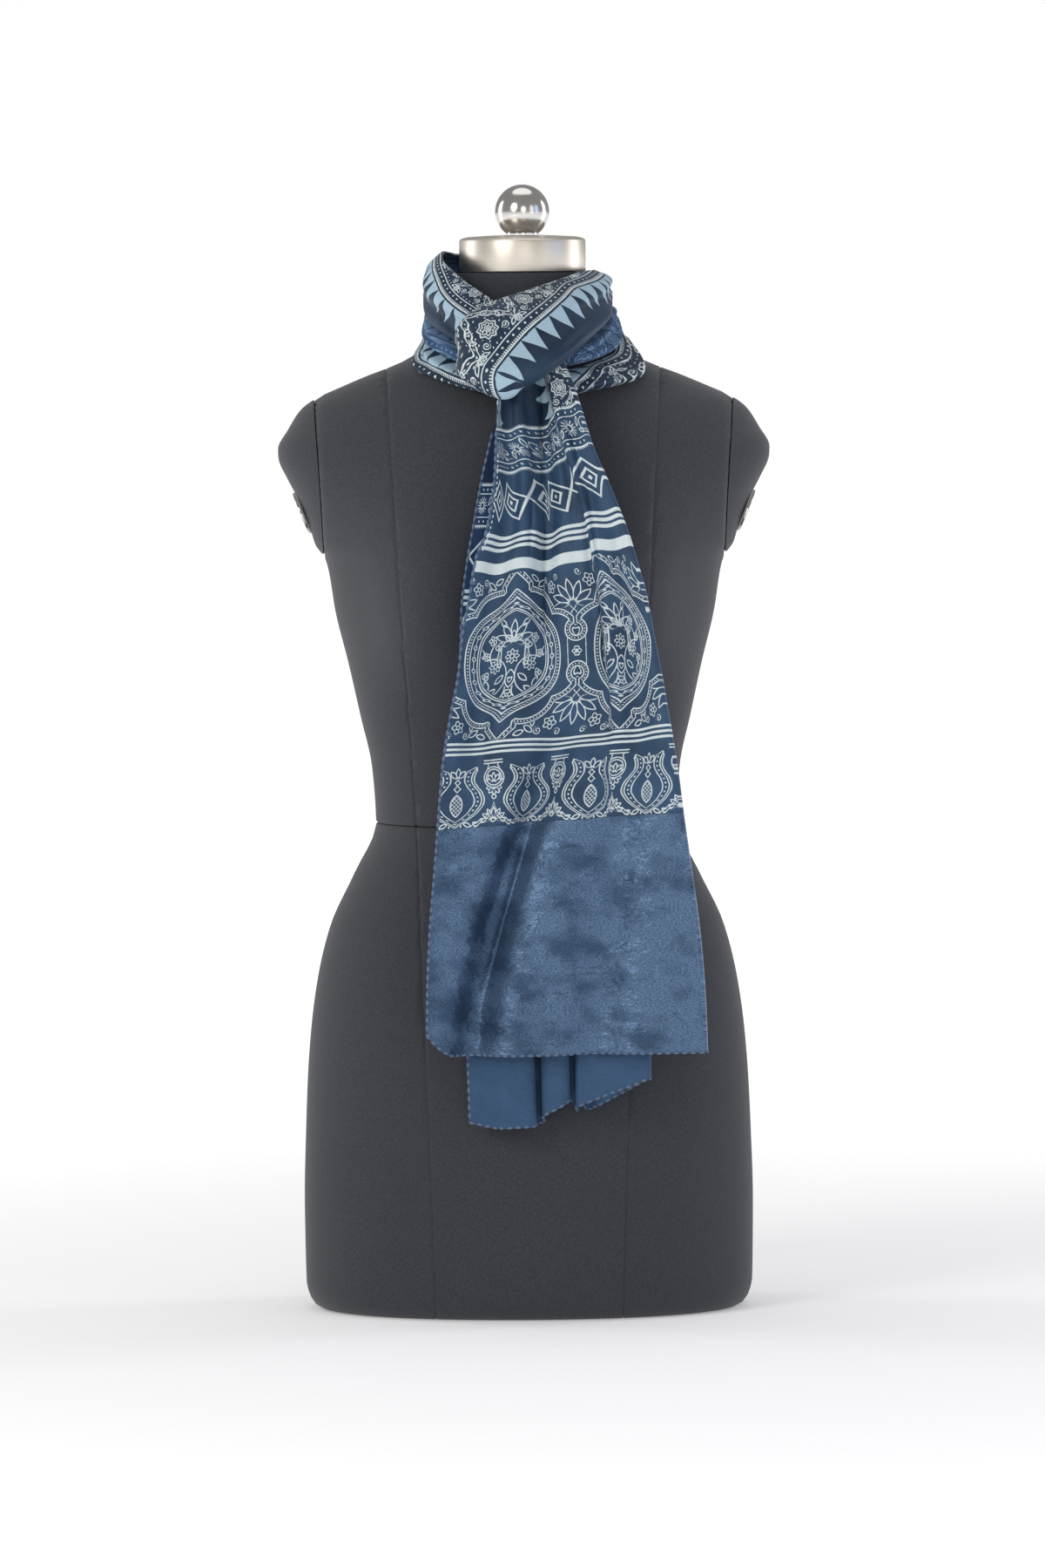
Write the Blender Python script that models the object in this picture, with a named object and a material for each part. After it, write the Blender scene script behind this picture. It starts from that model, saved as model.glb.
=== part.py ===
"""A long printed stole, folded along its length and looped round the neck of a dress form.

Metres, +Z up, the front faces -Y, and the form stands on z = 0. The cloth pieces are thin
closed shells laid out from the tables below; the form's pieces are the solids it rests on.
"""

import math

import bmesh
import bpy
import numpy as np

for old in list(bpy.data.objects):
    bpy.data.objects.remove(old)

SEAM = 0.0004  # half the space between two pieces that meet
WALL = 0.0018  # thickness of one layer of cloth
TAIL_WALL = 0.0016

WAIST_Z = 0.387
NECK_TOP = 0.822
CAP_TOP = 0.8515
BALL_Z = 0.8696
BALL_RADIUS = 0.0214

# The form's sections: half width, depth in front of and behind the middle plane.
FORM = {
    "z": (0.000, 0.030, 0.089, 0.140, 0.182, 0.223, 0.265, 0.306, 0.347, 0.387, 0.430, 0.472, 0.513,
          0.554, 0.590, 0.598, 0.607, 0.618, 0.633, 0.645, 0.658, 0.677, 0.683, 0.699, 0.714, 0.7225,
          0.730, 0.741, 0.751, 0.765, 0.785, 0.800, 0.822),
    "half": (0.176, .1777, .1784, .1770, .1753, .1722, .1663, .1559, .1366, .1194, .1221, .1311, .1401,
             .1501, .1560, .1590, .1655, .1690, .1750, .1797, .1865, .1945, .1947, .1863, .1766, .1655,
             .1490, .1230, .0970, .0750, .0575, .0530, .0520),
    "front": (0.110, 0.112, 0.114, 0.113, 0.112, 0.110, 0.106, 0.101, 0.094, 0.088, 0.089, 0.091, 0.093,
              0.094, 0.096, 0.096, 0.096, 0.096, 0.095, 0.094, 0.092, 0.090, 0.089, 0.084, 0.075, .0680,
              0.061, .0575, .0560, .0550, .0535, .0525, .0520),
    "back": (0.114, 0.116, 0.118, 0.119, 0.118, 0.115, 0.110, 0.103, 0.098, 0.094, 0.096, 0.100, 0.104,
             0.109, 0.112, 0.112, 0.112, 0.112, 0.112, 0.111, 0.110, 0.108, 0.107, 0.101, 0.089, .0780,
             0.068, .0620, .0590, .0570, .0545, .0530, .0520),
}
ROUND = 2.12  # exponent of the sections: 2 is an ellipse
BUST = {"x": 0.080, "z": 0.562, "out": 0.040, "across": 0.054, "above": 0.080, "below": 0.056}
ARMHOLE = {"z": (0.590, 0.640, 0.677, 0.7225), "x": (0.1580, 0.1600, 0.1620, 0.1655)}
EDGE = {"z": (0.0, 0.0022, 0.0065, 0.0130, 0.0210), "in": (0.0165, 0.0085, 0.0040, 0.0012, 0.0)}


def smooth(xs, ys, x):
    """A curve through the values of a table, level or straight where they are."""
    xs, ys, x = np.asarray(xs, float), np.asarray(ys, float), np.asarray(x, float)
    step = np.diff(xs)
    slope = np.diff(ys) / step
    total = slope[1:] + slope[:-1]
    total = np.where(np.abs(total) > 1e-12, total, 1)
    both = slope[1:] * slope[:-1]
    inner = np.where(both > 0, 2 * both / total, 0)
    tangent = np.concatenate([slope[:1], inner, slope[-1:]])
    x = np.clip(x, xs[0], xs[-1])
    i = np.clip(np.searchsorted(xs, x, "right") - 1, 0, len(step) - 1)
    t = (x - xs[i]) / step[i]
    return (
        ys[i] * (1 + 2 * t) * (1 - t) ** 2
        + tangent[i] * step[i] * t * (1 - t) ** 2
        + ys[i + 1] * t * t * (3 - 2 * t)
        + tangent[i + 1] * step[i] * t * t * (t - 1)
    )


def form(column, z):
    return smooth(FORM["z"], FORM[column], z)


def bust(x, z):
    tall = np.where(z > BUST["z"], BUST["above"], BUST["below"])
    level = np.exp(-(((z - BUST["z"]) / tall) ** 2))
    left = np.exp(-(((x + BUST["x"]) / BUST["across"]) ** 2))
    right = np.exp(-(((x - BUST["x"]) / BUST["across"]) ** 2))
    return BUST["out"] * level * (left + right)


def form_front(x, z):
    """The form's front surface, as y."""
    across = np.clip(np.abs(x) / form("half", z), 0, 0.999)
    flat = (1 - across**ROUND) ** (1 / ROUND)
    return -form("front", z) * flat - bust(x, z) * np.clip(flat * 1.4, 0, 1)


def form_radius(angle, z):
    """The form's distance from its axis, at an angle from the front towards +X."""
    depth = np.where(np.cos(angle) > 0, form("front", z), form("back", z))
    across = np.abs(np.sin(angle) / form("half", z)) ** ROUND
    return (across + np.abs(np.cos(angle) / depth) ** ROUND) ** (-1 / ROUND)


def form_ring(z, count, inset=0.0):
    """One section of the form, counted from the front towards +X."""
    turn = np.linspace(0, 2 * math.pi, count, endpoint=False)
    s, c = np.sin(turn), -np.cos(turn)
    half = float(form("half", z)) - inset
    depth = np.where(c < 0, float(form("front", z)), float(form("back", z))) - inset
    x = half * np.sign(s) * np.abs(s) ** (2 / ROUND)
    y = depth * np.sign(c) * np.abs(c) ** (2 / ROUND)
    ahead = np.clip(np.abs(c) ** (2 / ROUND) * 1.4, 0, 1)
    y = y - np.where(c < 0, bust(x, z) * ahead, 0)
    if ARMHOLE["z"][0] < z < ARMHOLE["z"][-1]:
        edge = float(np.interp(z, ARMHOLE["z"], ARMHOLE["x"])) - SEAM
        x = np.clip(x, -edge, edge)
    return np.column_stack([x, y, np.full(count, z)])


def material(name, colour, roughness, metallic):
    made = bpy.data.materials.new(name)
    made.use_nodes = True
    shader = made.node_tree.nodes["Principled BSDF"]
    shader.inputs["Base Color"].default_value = (*colour, 1)
    shader.inputs["Roughness"].default_value = roughness
    shader.inputs["Metallic"].default_value = metallic
    return made


FORM_CLOTH = material("form cloth", (0.045, 0.048, 0.055), 0.92, 0)
STEEL = material("brushed steel", (0.62, 0.60, 0.57), 0.32, 1)
CHROME = material("polished metal", (0.72, 0.72, 0.73), 0.08, 1)
PRINT = material("printed cloth", (0.040, 0.070, 0.150), 0.45, 0)
WRONG_SIDE = material("wrong side of the cloth", (0.100, 0.170, 0.290), 0.70, 0)


def add(name, points, faces, look):
    mesh = bpy.data.meshes.new(name)
    places = [tuple(map(float, p)) for p in points]
    mesh.from_pydata(places, [], [tuple(map(int, f)) for f in faces])
    obj = bpy.data.objects.new(name, mesh)
    bpy.context.scene.collection.objects.link(obj)
    shape = bmesh.new()
    shape.from_mesh(mesh)
    bmesh.ops.recalc_face_normals(shape, faces=shape.faces)
    shape.to_mesh(mesh)
    shape.free()
    mesh.materials.append(look)
    mesh.shade_smooth()
    mesh.set_sharp_from_angle(angle=math.radians(50))
    return obj


def stack(name, rings, look):
    """A solid through closed rings, with a flat face on the first and the last."""
    rings = np.asarray(rings)
    rows, count = rings.shape[:2]
    faces = [tuple(range(count))[::-1], tuple(range((rows - 1) * count, rows * count))]
    for r in range(rows - 1):
        for c in range(count):
            d = (c + 1) % count
            faces.append((r * count + c, r * count + d, (r + 1) * count + d, (r + 1) * count + c))
    return add(name, rings.reshape(-1, 3), faces, look)


def shell(name, grid, wall, look):
    """Cloth of one thickness over a grid of points: rows along it, columns across it."""
    grid = np.asarray(grid)
    rows, cols = grid.shape[:2]
    normal = np.cross(np.gradient(grid, axis=1), np.gradient(grid, axis=0))
    normal /= np.linalg.norm(normal, axis=2, keepdims=True)
    outside, inside = grid + normal * wall / 2, grid - normal * wall / 2
    points = np.concatenate([outside.reshape(-1, 3), inside.reshape(-1, 3)])
    back = rows * cols
    faces = []
    for r in range(rows - 1):
        for c in range(cols - 1):
            q = (r * cols + c, r * cols + c + 1, (r + 1) * cols + c + 1, (r + 1) * cols + c)
            faces += [q, tuple(back + k for k in q[::-1])]
    rim = list(range(cols)) + [r * cols + cols - 1 for r in range(1, rows)]
    rim += [(rows - 1) * cols + c for c in range(cols - 2, -1, -1)]
    rim += [r * cols for r in range(rows - 2, 0, -1)]
    for a, b in zip(rim, rim[1:] + rim[:1]):
        faces.append((a, b, back + b, back + a))
    return add(name, points, faces, look)


# ---- the dress form ----

ROUND_FORM = 48  # points round a section of the form
LOWER_LEVELS = (0.05, 0.09, 0.14, 0.182, 0.223, 0.255, 0.285, 0.315, 0.345, 0.368, WAIST_Z - SEAM)
UPPER_LEVELS = (
    WAIST_Z + SEAM, 0.408, 0.440, 0.472, 0.500, 0.522, 0.543, 0.564, 0.585, 0.600, 0.618, 0.640, 0.665,
    0.690, 0.708, 0.722, 0.731, 0.741, 0.751, 0.761, 0.775, 0.795, NECK_TOP - SEAM,
)
lower_rings = [form_ring(z, ROUND_FORM, inset) for z, inset in zip(EDGE["z"], EDGE["in"])]
lower_rings += [form_ring(z, ROUND_FORM) for z in LOWER_LEVELS]
stack("torso_lower", lower_rings, FORM_CLOTH)
stack("torso_upper", [form_ring(z, ROUND_FORM) for z in UPPER_LEVELS], FORM_CLOTH)

SHOULDER_LEVELS = (0.6005, 0.607, 0.618, 0.633, 0.645, 0.658, 0.668, 0.680, 0.690, 0.700, 0.709, 0.717,
                   0.7215)
PLATE = {  # its inner face's middle, its lean in degrees, half its oval and its thickness
    "middle": (0.1754, 0.004, 0.6325), "lean": 22.0, "half_height": 0.0175, "half_depth": 0.0240,
    "thick": 0.0018, "rim": 0.0012, "rim_share": 0.95,
}


def shoulder_cap(name, side):
    """The rounded end of the shoulder, outside the armhole seam."""
    rings = []
    for z in SHOULDER_LEVELS:
        edge = float(np.interp(z, ARMHOLE["z"], ARMHOLE["x"])) + SEAM
        half = max(float(form("half", z)), edge + 0.0006)
        reach = (1 - (edge / half) ** ROUND) ** (1 / ROUND)
        arc = []
        for turn in np.linspace(-1, 1, 13):
            y_share = reach * math.sin(turn * math.pi / 2)
            x = half * (1 - abs(y_share) ** ROUND) ** (1 / ROUND)
            y = y_share * float(form("front" if turn < 0 else "back", z))
            arc.append((side * max(x, edge), y, z))
        rings.append(arc)
    stack(name, rings, FORM_CLOTH)


def arm_plate(name, side):
    """The oval metal plate under the shoulder's end, leaning out and down."""
    lean = math.radians(PLATE["lean"])
    middle = np.array(PLATE["middle"])
    out = np.array([math.cos(lean), 0, -math.sin(lean)])
    up = np.array([math.sin(lean), 0, math.cos(lean)])
    across = np.array([0, 1.0, 0])
    rings = []
    for deep, share in ((0.0, 1.0), (PLATE["rim"], 1.0), (PLATE["thick"], PLATE["rim_share"])):
        ring = []
        for t in np.linspace(0, 2 * math.pi, 28, endpoint=False):
            flat = up * PLATE["half_height"] * math.sin(t) + across * PLATE["half_depth"] * math.cos(t)
            p = middle + out * deep + flat * share
            ring.append((side * p[0], p[1], p[2]))
        rings.append(ring)
    stack(name, rings, CHROME)


def turned(name, profile, count, look):
    """A solid turned about the form's axis: (radius, z) from the bottom up."""
    turn = np.linspace(0, 2 * math.pi, count, endpoint=False)
    rings = [[(r * math.cos(t), r * math.sin(t), z) for t in turn] for r, z in profile]
    stack(name, rings, look)


shoulder_cap("shoulder_cap_left", -1)
shoulder_cap("shoulder_cap_right", 1)
arm_plate("arm_plate_left", -1)
arm_plate("arm_plate_right", 1)
NECK_CAP = (
    (0.0490, NECK_TOP + SEAM), (0.0500, NECK_TOP + 0.0015), (0.0500, 0.8462), (0.0490, 0.8485),
    (0.0440, 0.8499), (0.0250, 0.8509), (0.0130, CAP_TOP),
)
COLLAR = ((0.0128, CAP_TOP + SEAM), (0.0134, CAP_TOP + 0.0010), (0.0128, CAP_TOP + 0.0016))
BALL_TURNS = (-48, -38, -24, -9, 9, 27, 45, 62, 77, 86)  # degrees above the ball's middle
turned("neck_cap", NECK_CAP, 40, STEEL)
ball = [(BALL_RADIUS * math.cos(a), BALL_Z + BALL_RADIUS * math.sin(a)) for a in np.radians(BALL_TURNS)]
turned("finial_ball", list(COLLAR) + ball, 32, CHROME)

# ---- the stole round the neck ----

# Going round from the front by the right side: the heights between which the three
# stretches of cloth lie, one above the other, and how far out each one stands.
NECK = {
    "turn": (8, 35, 60, 90, 130, 180, 230, 270, 300, 325, 346),
    "bottom": (0.720, 0.726, 0.735, 0.764, 0.769, 0.773, 0.771, 0.764, 0.742, 0.730, 0.724),
    "low": (0.743, 0.748, 0.758, 0.779, 0.785, 0.790, 0.788, 0.779, 0.761, 0.747, 0.738),
    "high": (0.762, 0.768, 0.779, 0.797, 0.801, 0.807, 0.806, 0.796, 0.779, 0.765, 0.755),
    "top": (0.790, 0.806, 0.816, 0.822, 0.824, 0.831, 0.837, 0.840, 0.829, 0.813, 0.797),
    "out_lower": (0.086, 0.094, 0.0990, 0.0810, 0.080, 0.080, 0.080, 0.0760, 0.0885, 0.088, 0.084),
    "out_mid": (0.083, 0.086, 0.083, 0.0755, 0.077, 0.078, 0.079, 0.0785, 0.085, 0.085, 0.082),
    "out_upper": (0.086, 0.084, 0.080, 0.0700, 0.074, 0.078, 0.078, 0.0780, 0.085, 0.087, 0.084),
}
STRETCH_GAP = 0.0016
CREASES = 2.5  # creases over the width of one stretch
OVER_FORM = 0.0045  # how far the cloth's middle stays outside the form


def arch(top, mid, bottom, across, crease, phase):
    """Half of an oval over the cloth's middle, from one edge to the other, creased along it."""
    centre = (top + bottom) / 2
    out = mid - centre
    share = np.sin(math.pi * across)[:, None]
    wave = np.cos(2 * math.pi * CREASES * across + phase) * np.sqrt(np.sin(math.pi * across).clip(0))
    bulge = out * share + out / np.linalg.norm(out) * wave[:, None] * crease
    return centre + bulge + (top - bottom) / 2 * np.cos(math.pi * across)[:, None]


def neck_stretch(name, look, edges, turns, counts, crease, belly=0.5, tuck=(0.024, 0.022)):
    """One stretch of cloth round the neck, between two of the heights in the table."""
    below, above, reach = edges
    rows, cols = counts
    across = np.linspace(0, 1, cols)
    grid = []
    for turn in np.linspace(*turns, rows):
        angle = math.radians(turn)
        flat = np.array([math.sin(angle), -math.cos(angle), 0.0])
        z0 = float(smooth(NECK["turn"], NECK[below], turn)) + STRETCH_GAP
        z1 = float(smooth(NECK["turn"], NECK[above], turn)) - STRETCH_GAP
        out = float(smooth(NECK["turn"], NECK[reach], turn))
        points = []
        for z, r in ((z1, out - tuck[0]), (z0 + (z1 - z0) * belly, out), (z0, out - tuck[1])):
            r = max(r, float(form_radius(angle, z)) + 0.0035)
            points.append(flat * r + np.array([0, 0, z]))
        grid.append(arch(*points, across, crease, 1.3 + 0.9 * math.sin(2 * angle)))
    grid = np.array(grid)
    for row in grid:
        for p in row:
            r = math.hypot(p[0], p[1])
            least = float(form_radius(math.atan2(p[0], -p[1]), p[2])) + OVER_FORM
            if r < least:
                p[:2] *= least / r
    shell(name, grid, WALL, look)


neck_stretch("wrap_lower", PRINT, ("bottom", "low", "out_lower"), (8, 346), (34, 8), 0.0012)
neck_stretch("wrap_mid", WRONG_SIDE, ("low", "high", "out_mid"), (14, 344), (32, 7), 0.0010)
neck_stretch("wrap_upper", PRINT, ("high", "top", "out_upper"), (111.5, 344), (26, 10), 0.0020,
             belly=0.38, tuck=(0.016, 0.013))

# The band over the knot, from the right side of the neck down to the left, where it turns
# under: its upper edge, its middle and its lower edge.
BAND = {
    "top": ((0.0550, 0.0200, 0.8225), (0.0560, -0.0080, 0.8225), (0.0480, -0.0340, 0.8220),
            (0.0330, -0.0600, 0.8170), (0.0020, -0.0860, 0.8070), (-0.0240, -0.0960, 0.7985),
            (-0.0410, -0.1000, 0.7900), (-0.0440, -0.0920, 0.7830), (-0.0340, -0.0850, 0.7760)),
    "middle": ((0.0680, 0.0250, 0.8140), (0.0700, -0.0100, 0.8110), (0.0670, -0.0560, 0.8010),
               (0.0400, -0.1060, 0.7860), (0.0020, -0.1290, 0.7700), (-0.0290, -0.1320, 0.7630),
               (-0.0510, -0.1170, 0.7610), (-0.0520, -0.1000, 0.7580), (-0.0360, -0.0900, 0.7560)),
    "bottom": ((0.0580, 0.0212, 0.8045), (0.0600, -0.0090, 0.8020), (0.0590, -0.0620, 0.7840),
               (0.0330, -0.1180, 0.7540), (0.0040, -0.1290, 0.7340), (-0.0150, -0.1280, 0.7240),
               (-0.0390, -0.1160, 0.7340), (-0.0430, -0.1000, 0.7380), (-0.0330, -0.0900, 0.7370)),
}


def through(points, rows):
    """Points along a smooth curve through the given ones."""
    points = np.asarray(points, float)
    ends = np.arange(len(points))
    along = np.linspace(0, len(points) - 1, rows)
    return np.column_stack([smooth(ends, points[:, k], along) for k in range(3)])


BAND_ROWS = 27
band_across = np.linspace(0, 1, 12)
top, middle, bottom = (through(BAND[key], BAND_ROWS) for key in ("top", "middle", "bottom"))
band_phase = 0.6 + 0.05 * np.arange(BAND_ROWS)
band = [arch(*points, band_across, 0.0022, phase) for *points, phase in zip(top, middle, bottom, band_phase)]
shell("front_band", band, WALL, PRINT)

# ---- the two hanging ends ----

# Each end hangs as two layers, joined by the fold along its +X edge. Going down: its left and
# right outline, how far forward it hangs, and how much of the cloth's width lies in its folds.
FRONT_TAIL = {
    "z": (0.215, 0.257, 0.310, 0.360, 0.400, 0.440, 0.480, 0.510, 0.545, 0.570, 0.600, 0.620, 0.640,
          0.660, 0.690, 0.710, 0.735, 0.754),
    "left": (-0.078, -0.0775, -0.075, -0.071, -0.068, -0.0645, -0.058, -0.052, -0.048, -0.043, -0.038,
             -0.030, -0.0255, -0.0230, -0.0215, -0.0210, -0.0190, -0.0150),
    "right": (0.137, 0.1355, 0.1315, 0.1250, 0.1195, 0.1145, 0.1080, 0.1030, 0.0965, 0.0920, 0.0840,
              0.0780, 0.0705, 0.0625, 0.0500, 0.0440, 0.0360, 0.0280),
    "y": (-0.156, -0.156, -0.156, -0.156, -0.156, -0.156, -0.1555, -0.155, -0.1535, -0.152, -0.149,
          -0.146, -0.142, -0.137, -0.1285, -0.1215, -0.1140, -0.1108),
    "cloth": (0.234, 0.233, 0.226, 0.216, 0.208, 0.200, 0.190, 0.182, 0.172, 0.164, 0.152, 0.140, 0.128,
              0.116, 0.096, 0.088, 0.074, 0.058),
}
# The folds: where each lies as a share of the width at four heights, how wide it is, and how deep.
FRONT_FOLDS = (
    {"kind": "valley", "z": (0.460, 0.560, 0.640, 0.752), "at": (0.43, 0.42, 0.43, 0.55),
     "wide": (0.016, 0.014, 0.013, 0.010), "deep": (0.00, 0.75, 1.00, 0.90)},
    {"kind": "pleat", "z": (0.420, 0.500, 0.640, 0.730), "at": (0.73, 0.74, 0.75, 0.76),
     "wide": (0.012, 0.009, 0.009, 0.007), "deep": (0.00, 0.90, 1.15, 0.60)},
    {"kind": "valley", "z": (0.630, 0.660, 0.700, 0.740), "at": (0.34, 0.34, 0.34, 0.34),
     "wide": (0.008, 0.008, 0.007, 0.006), "deep": (0.00, 0.55, 0.65, 0.60)},
    {"kind": "valley", "z": (0.213, 0.300, 0.400, 0.480), "at": (0.17, 0.24, 0.38, 0.55),
     "wide": (0.022, 0.022, 0.022, 0.018), "deep": (0.90, 1.00, 0.90, 0.00)},
    {"kind": "valley", "z": (0.300, 0.480, 0.620, 0.740), "at": (0.14, 0.14, 0.14, 0.14),
     "wide": (0.018, 0.016, 0.013, 0.008), "deep": (0.00, 0.45, 0.75, 0.75)},
    {"kind": "valley", "z": (0.213, 0.360, 0.560, 0.740), "at": (0.62, 0.72, 0.90, 0.90),
     "wide": (0.024, 0.022, 0.014, 0.008), "deep": (0.55, 0.40, 0.50, 0.60)},
)


def folded_section(tail, folds, z, count):
    """The cloth's path across one level: x, y and the share of the width at each point."""
    keys = ("left", "right", "y", "cloth")
    left, right, y0, cloth = (float(smooth(tail["z"], tail[key], z)) for key in keys)
    share = np.linspace(0, 1, 401)
    lean = np.zeros(401)
    for fold in folds:
        at, wide, deep = (float(smooth(fold["z"], fold[k], z)) for k in ("at", "wide", "deep"))
        u = (share - at) * cloth / wide
        bend = -2.33 * u if fold["kind"] == "valley" else -1.5
        lean += deep * bend * np.exp(-u * u)
    low, high = 0.0, 2.4
    for _ in range(40):
        gain = (low + high) / 2
        if np.cos(np.clip(gain * lean, -2.1, 2.1)).mean() * cloth > right - left:
            low = gain
        else:
            high = gain
    angle = np.clip(gain * lean, -2.1, 2.1)
    run, rise = np.cos(angle), np.sin(angle)
    x = np.concatenate([[0], np.cumsum((run[1:] + run[:-1]) / 2)]) * cloth / 400
    y = np.concatenate([[0], np.cumsum((rise[1:] + rise[:-1]) / 2)]) * cloth / 400
    x = left + x * (right - left) / x[-1]
    y = y - share * y[-1]
    y = y0 + y - y.mean()
    pick = np.linspace(0, 400, count).round().astype(int)
    return x[pick], y[pick], share[pick]


ENDS_APART = 0.0044  # between the middles of the front end's back layer and the back end
HEM_REACH = 0.16  # how far up from the hem its shape fades out
OVER_CHEST = 0.0035
UNDER_KNOT = 0.712  # above this height the ends pass in front of the neck stretches
BEFORE_NECK = -0.0925


def tail_grid(tail, folds, levels, counts, hem, apart, cover=None):
    """A hanging end: its front layer, the turn at its right edge and its back layer."""
    front_count, back_count = counts
    grid = []
    for z in levels:
        x, y, share = folded_section(tail, folds, z, front_count)
        if cover:
            y = np.maximum(y, cover(x, z) + ENDS_APART)
        turn_x, turn_y = x[-1], y[-1]
        radius = apart / 2
        row = list(zip(x, y, share))
        for a in np.radians((-50, 0, 50)):
            row.append((turn_x + radius * math.cos(a), turn_y + radius + radius * math.sin(a), 1.0))
        behind_x = np.linspace(turn_x - 0.004, x[0] + 0.002, back_count)
        behind_y = np.array([y[np.abs(x - bx) < 0.010].max() for bx in behind_x])
        for _ in range(2):
            padded = np.concatenate([behind_y[:1], behind_y, behind_y[-1:]])
            behind_y = np.maximum(behind_y, (padded[:-2] + padded[1:-1] + padded[2:]) / 3)
        for bx, by in zip(behind_x, behind_y):
            row.append((bx, by + apart, (bx - x[0]) / (turn_x - x[0])))
        drop = max(0.0, 1 - (z - levels[-1]) / HEM_REACH)
        row = np.array([(px, py, z + hem(ps) * drop) for px, py, ps in row])
        chest = form_front(row[:, 0], row[:, 2]) - OVER_CHEST
        limit = np.where(row[:, 2] > UNDER_KNOT, BEFORE_NECK, chest)
        row[:, 1] = np.minimum(row[:, 1], limit)
        grid.append(row)
    return np.array(grid)


def front_hem(share):
    """The front end's lower edge: its left corner hangs a little lower and is rounded off."""
    return -0.0030 * (1 - share) + 0.008 * max(0.0, 1 - share / 0.05) ** 2


FRONT_LEVELS = (0.754, 0.738, 0.720, 0.700, 0.680, 0.660, 0.640, 0.620, 0.600, 0.578, 0.554, 0.528,
                0.500, 0.470, 0.438, 0.404, 0.370, 0.336, 0.302, 0.268, 0.240, 0.2165)
front_grid = tail_grid(FRONT_TAIL, FRONT_FOLDS, FRONT_LEVELS, (36, 13), front_hem, 0.0052)
shell("tail_front", front_grid, TAIL_WALL, PRINT)


def behind_front(x, z):
    """The back of the front end, as y, where the back end has to hang behind it."""
    rows = [np.interp(x, row[:35:-1, 0], row[:35:-1, 1]) for row in front_grid]
    heights = np.array(FRONT_LEVELS)
    k = int(np.clip(np.searchsorted(-heights, -z) - 1, 0, len(heights) - 2))
    t = np.clip((heights[k] - z) / (heights[k] - heights[k + 1]), 0, 1)
    return rows[k] * (1 - t) + rows[k + 1] * t


BACK_TAIL = {
    "z": (0.156, 0.213, 0.300, 0.400, 0.480, 0.520, 0.560, 0.600, 0.630, 0.660, 0.690, 0.720, 0.745),
    "left": (-0.0455, -0.0470, -0.0490, -0.0500, -0.0500, -0.0500, -0.0490, -0.0440, -0.0385, -0.0330,
             -0.0260, -0.0180, -0.0130),
    "right": (0.0930, 0.0930, 0.0930, 0.0900, 0.0850, 0.0800, 0.0750, 0.0680, 0.0620, 0.0530, 0.0420,
              0.0330, 0.0240),
    "y": (-0.1370, -0.1370, -0.1370, -0.1365, -0.1355, -0.1345, -0.1325, -0.1285, -0.1245, -0.1195,
          -0.1125, -0.1050, -0.1010),
    "cloth": (0.196, 0.196, 0.194, 0.188, 0.180, 0.170, 0.158, 0.140, 0.125, 0.108, 0.082, 0.060,
              0.043),
}
BACK_FOLDS = (
    {"kind": "valley", "z": (0.156, 0.300, 0.520, 0.740), "at": (0.35, 0.35, 0.36, 0.38),
     "wide": (0.013, 0.013, 0.011, 0.006), "deep": (1.00, 1.00, 0.90, 0.70)},
    {"kind": "valley", "z": (0.156, 0.300, 0.520, 0.740), "at": (0.63, 0.63, 0.64, 0.64),
     "wide": (0.013, 0.013, 0.011, 0.006), "deep": (1.00, 1.00, 0.90, 0.70)},
)


BACK_HEM = {
    "share": (0.0, 0.10, 0.33, 0.38, 0.60, 0.66, 1.0),
    "rise": (0.004, 0.000, 0.002, 0.004, 0.026, 0.012, 0.038),
}


def back_hem(share):
    """The back end's lower edge: lowest at the left, rising to the right in three lobes."""
    return float(np.interp(share, BACK_HEM["share"], BACK_HEM["rise"]))


BACK_LEVELS = (0.745, 0.722, 0.700, 0.675, 0.650, 0.622, 0.590, 0.556, 0.520, 0.478, 0.436, 0.394,
               0.352, 0.310, 0.268, 0.226, 0.188, 0.156)
back_grid = tail_grid(BACK_TAIL, BACK_FOLDS, BACK_LEVELS, (28, 11), back_hem, 0.0050, behind_front)
shell("tail_back", back_grid, TAIL_WALL, WRONG_SIDE)
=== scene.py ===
"""A long printed stole, folded along its length and looped round the neck of a dress form."""

import math

import bmesh
import bpy
import numpy as np
from mathutils import Matrix, Vector


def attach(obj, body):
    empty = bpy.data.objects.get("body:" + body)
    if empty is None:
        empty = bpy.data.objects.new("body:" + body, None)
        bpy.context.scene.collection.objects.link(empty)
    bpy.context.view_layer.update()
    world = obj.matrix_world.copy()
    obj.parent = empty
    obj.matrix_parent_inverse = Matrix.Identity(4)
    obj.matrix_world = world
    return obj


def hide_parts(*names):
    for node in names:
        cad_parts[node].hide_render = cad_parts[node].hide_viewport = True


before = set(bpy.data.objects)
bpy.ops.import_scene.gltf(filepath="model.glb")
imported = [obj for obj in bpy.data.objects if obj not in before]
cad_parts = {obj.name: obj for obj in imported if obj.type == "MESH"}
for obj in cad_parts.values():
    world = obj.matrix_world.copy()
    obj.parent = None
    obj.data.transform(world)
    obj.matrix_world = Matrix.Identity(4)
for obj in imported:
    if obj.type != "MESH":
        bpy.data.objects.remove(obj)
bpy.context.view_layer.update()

# ---- The camera ----
# A long lens seven metres away, a little above the middle of the form and tipped
# slightly down. It is rolled by under half a degree, as the photograph is.

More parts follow.
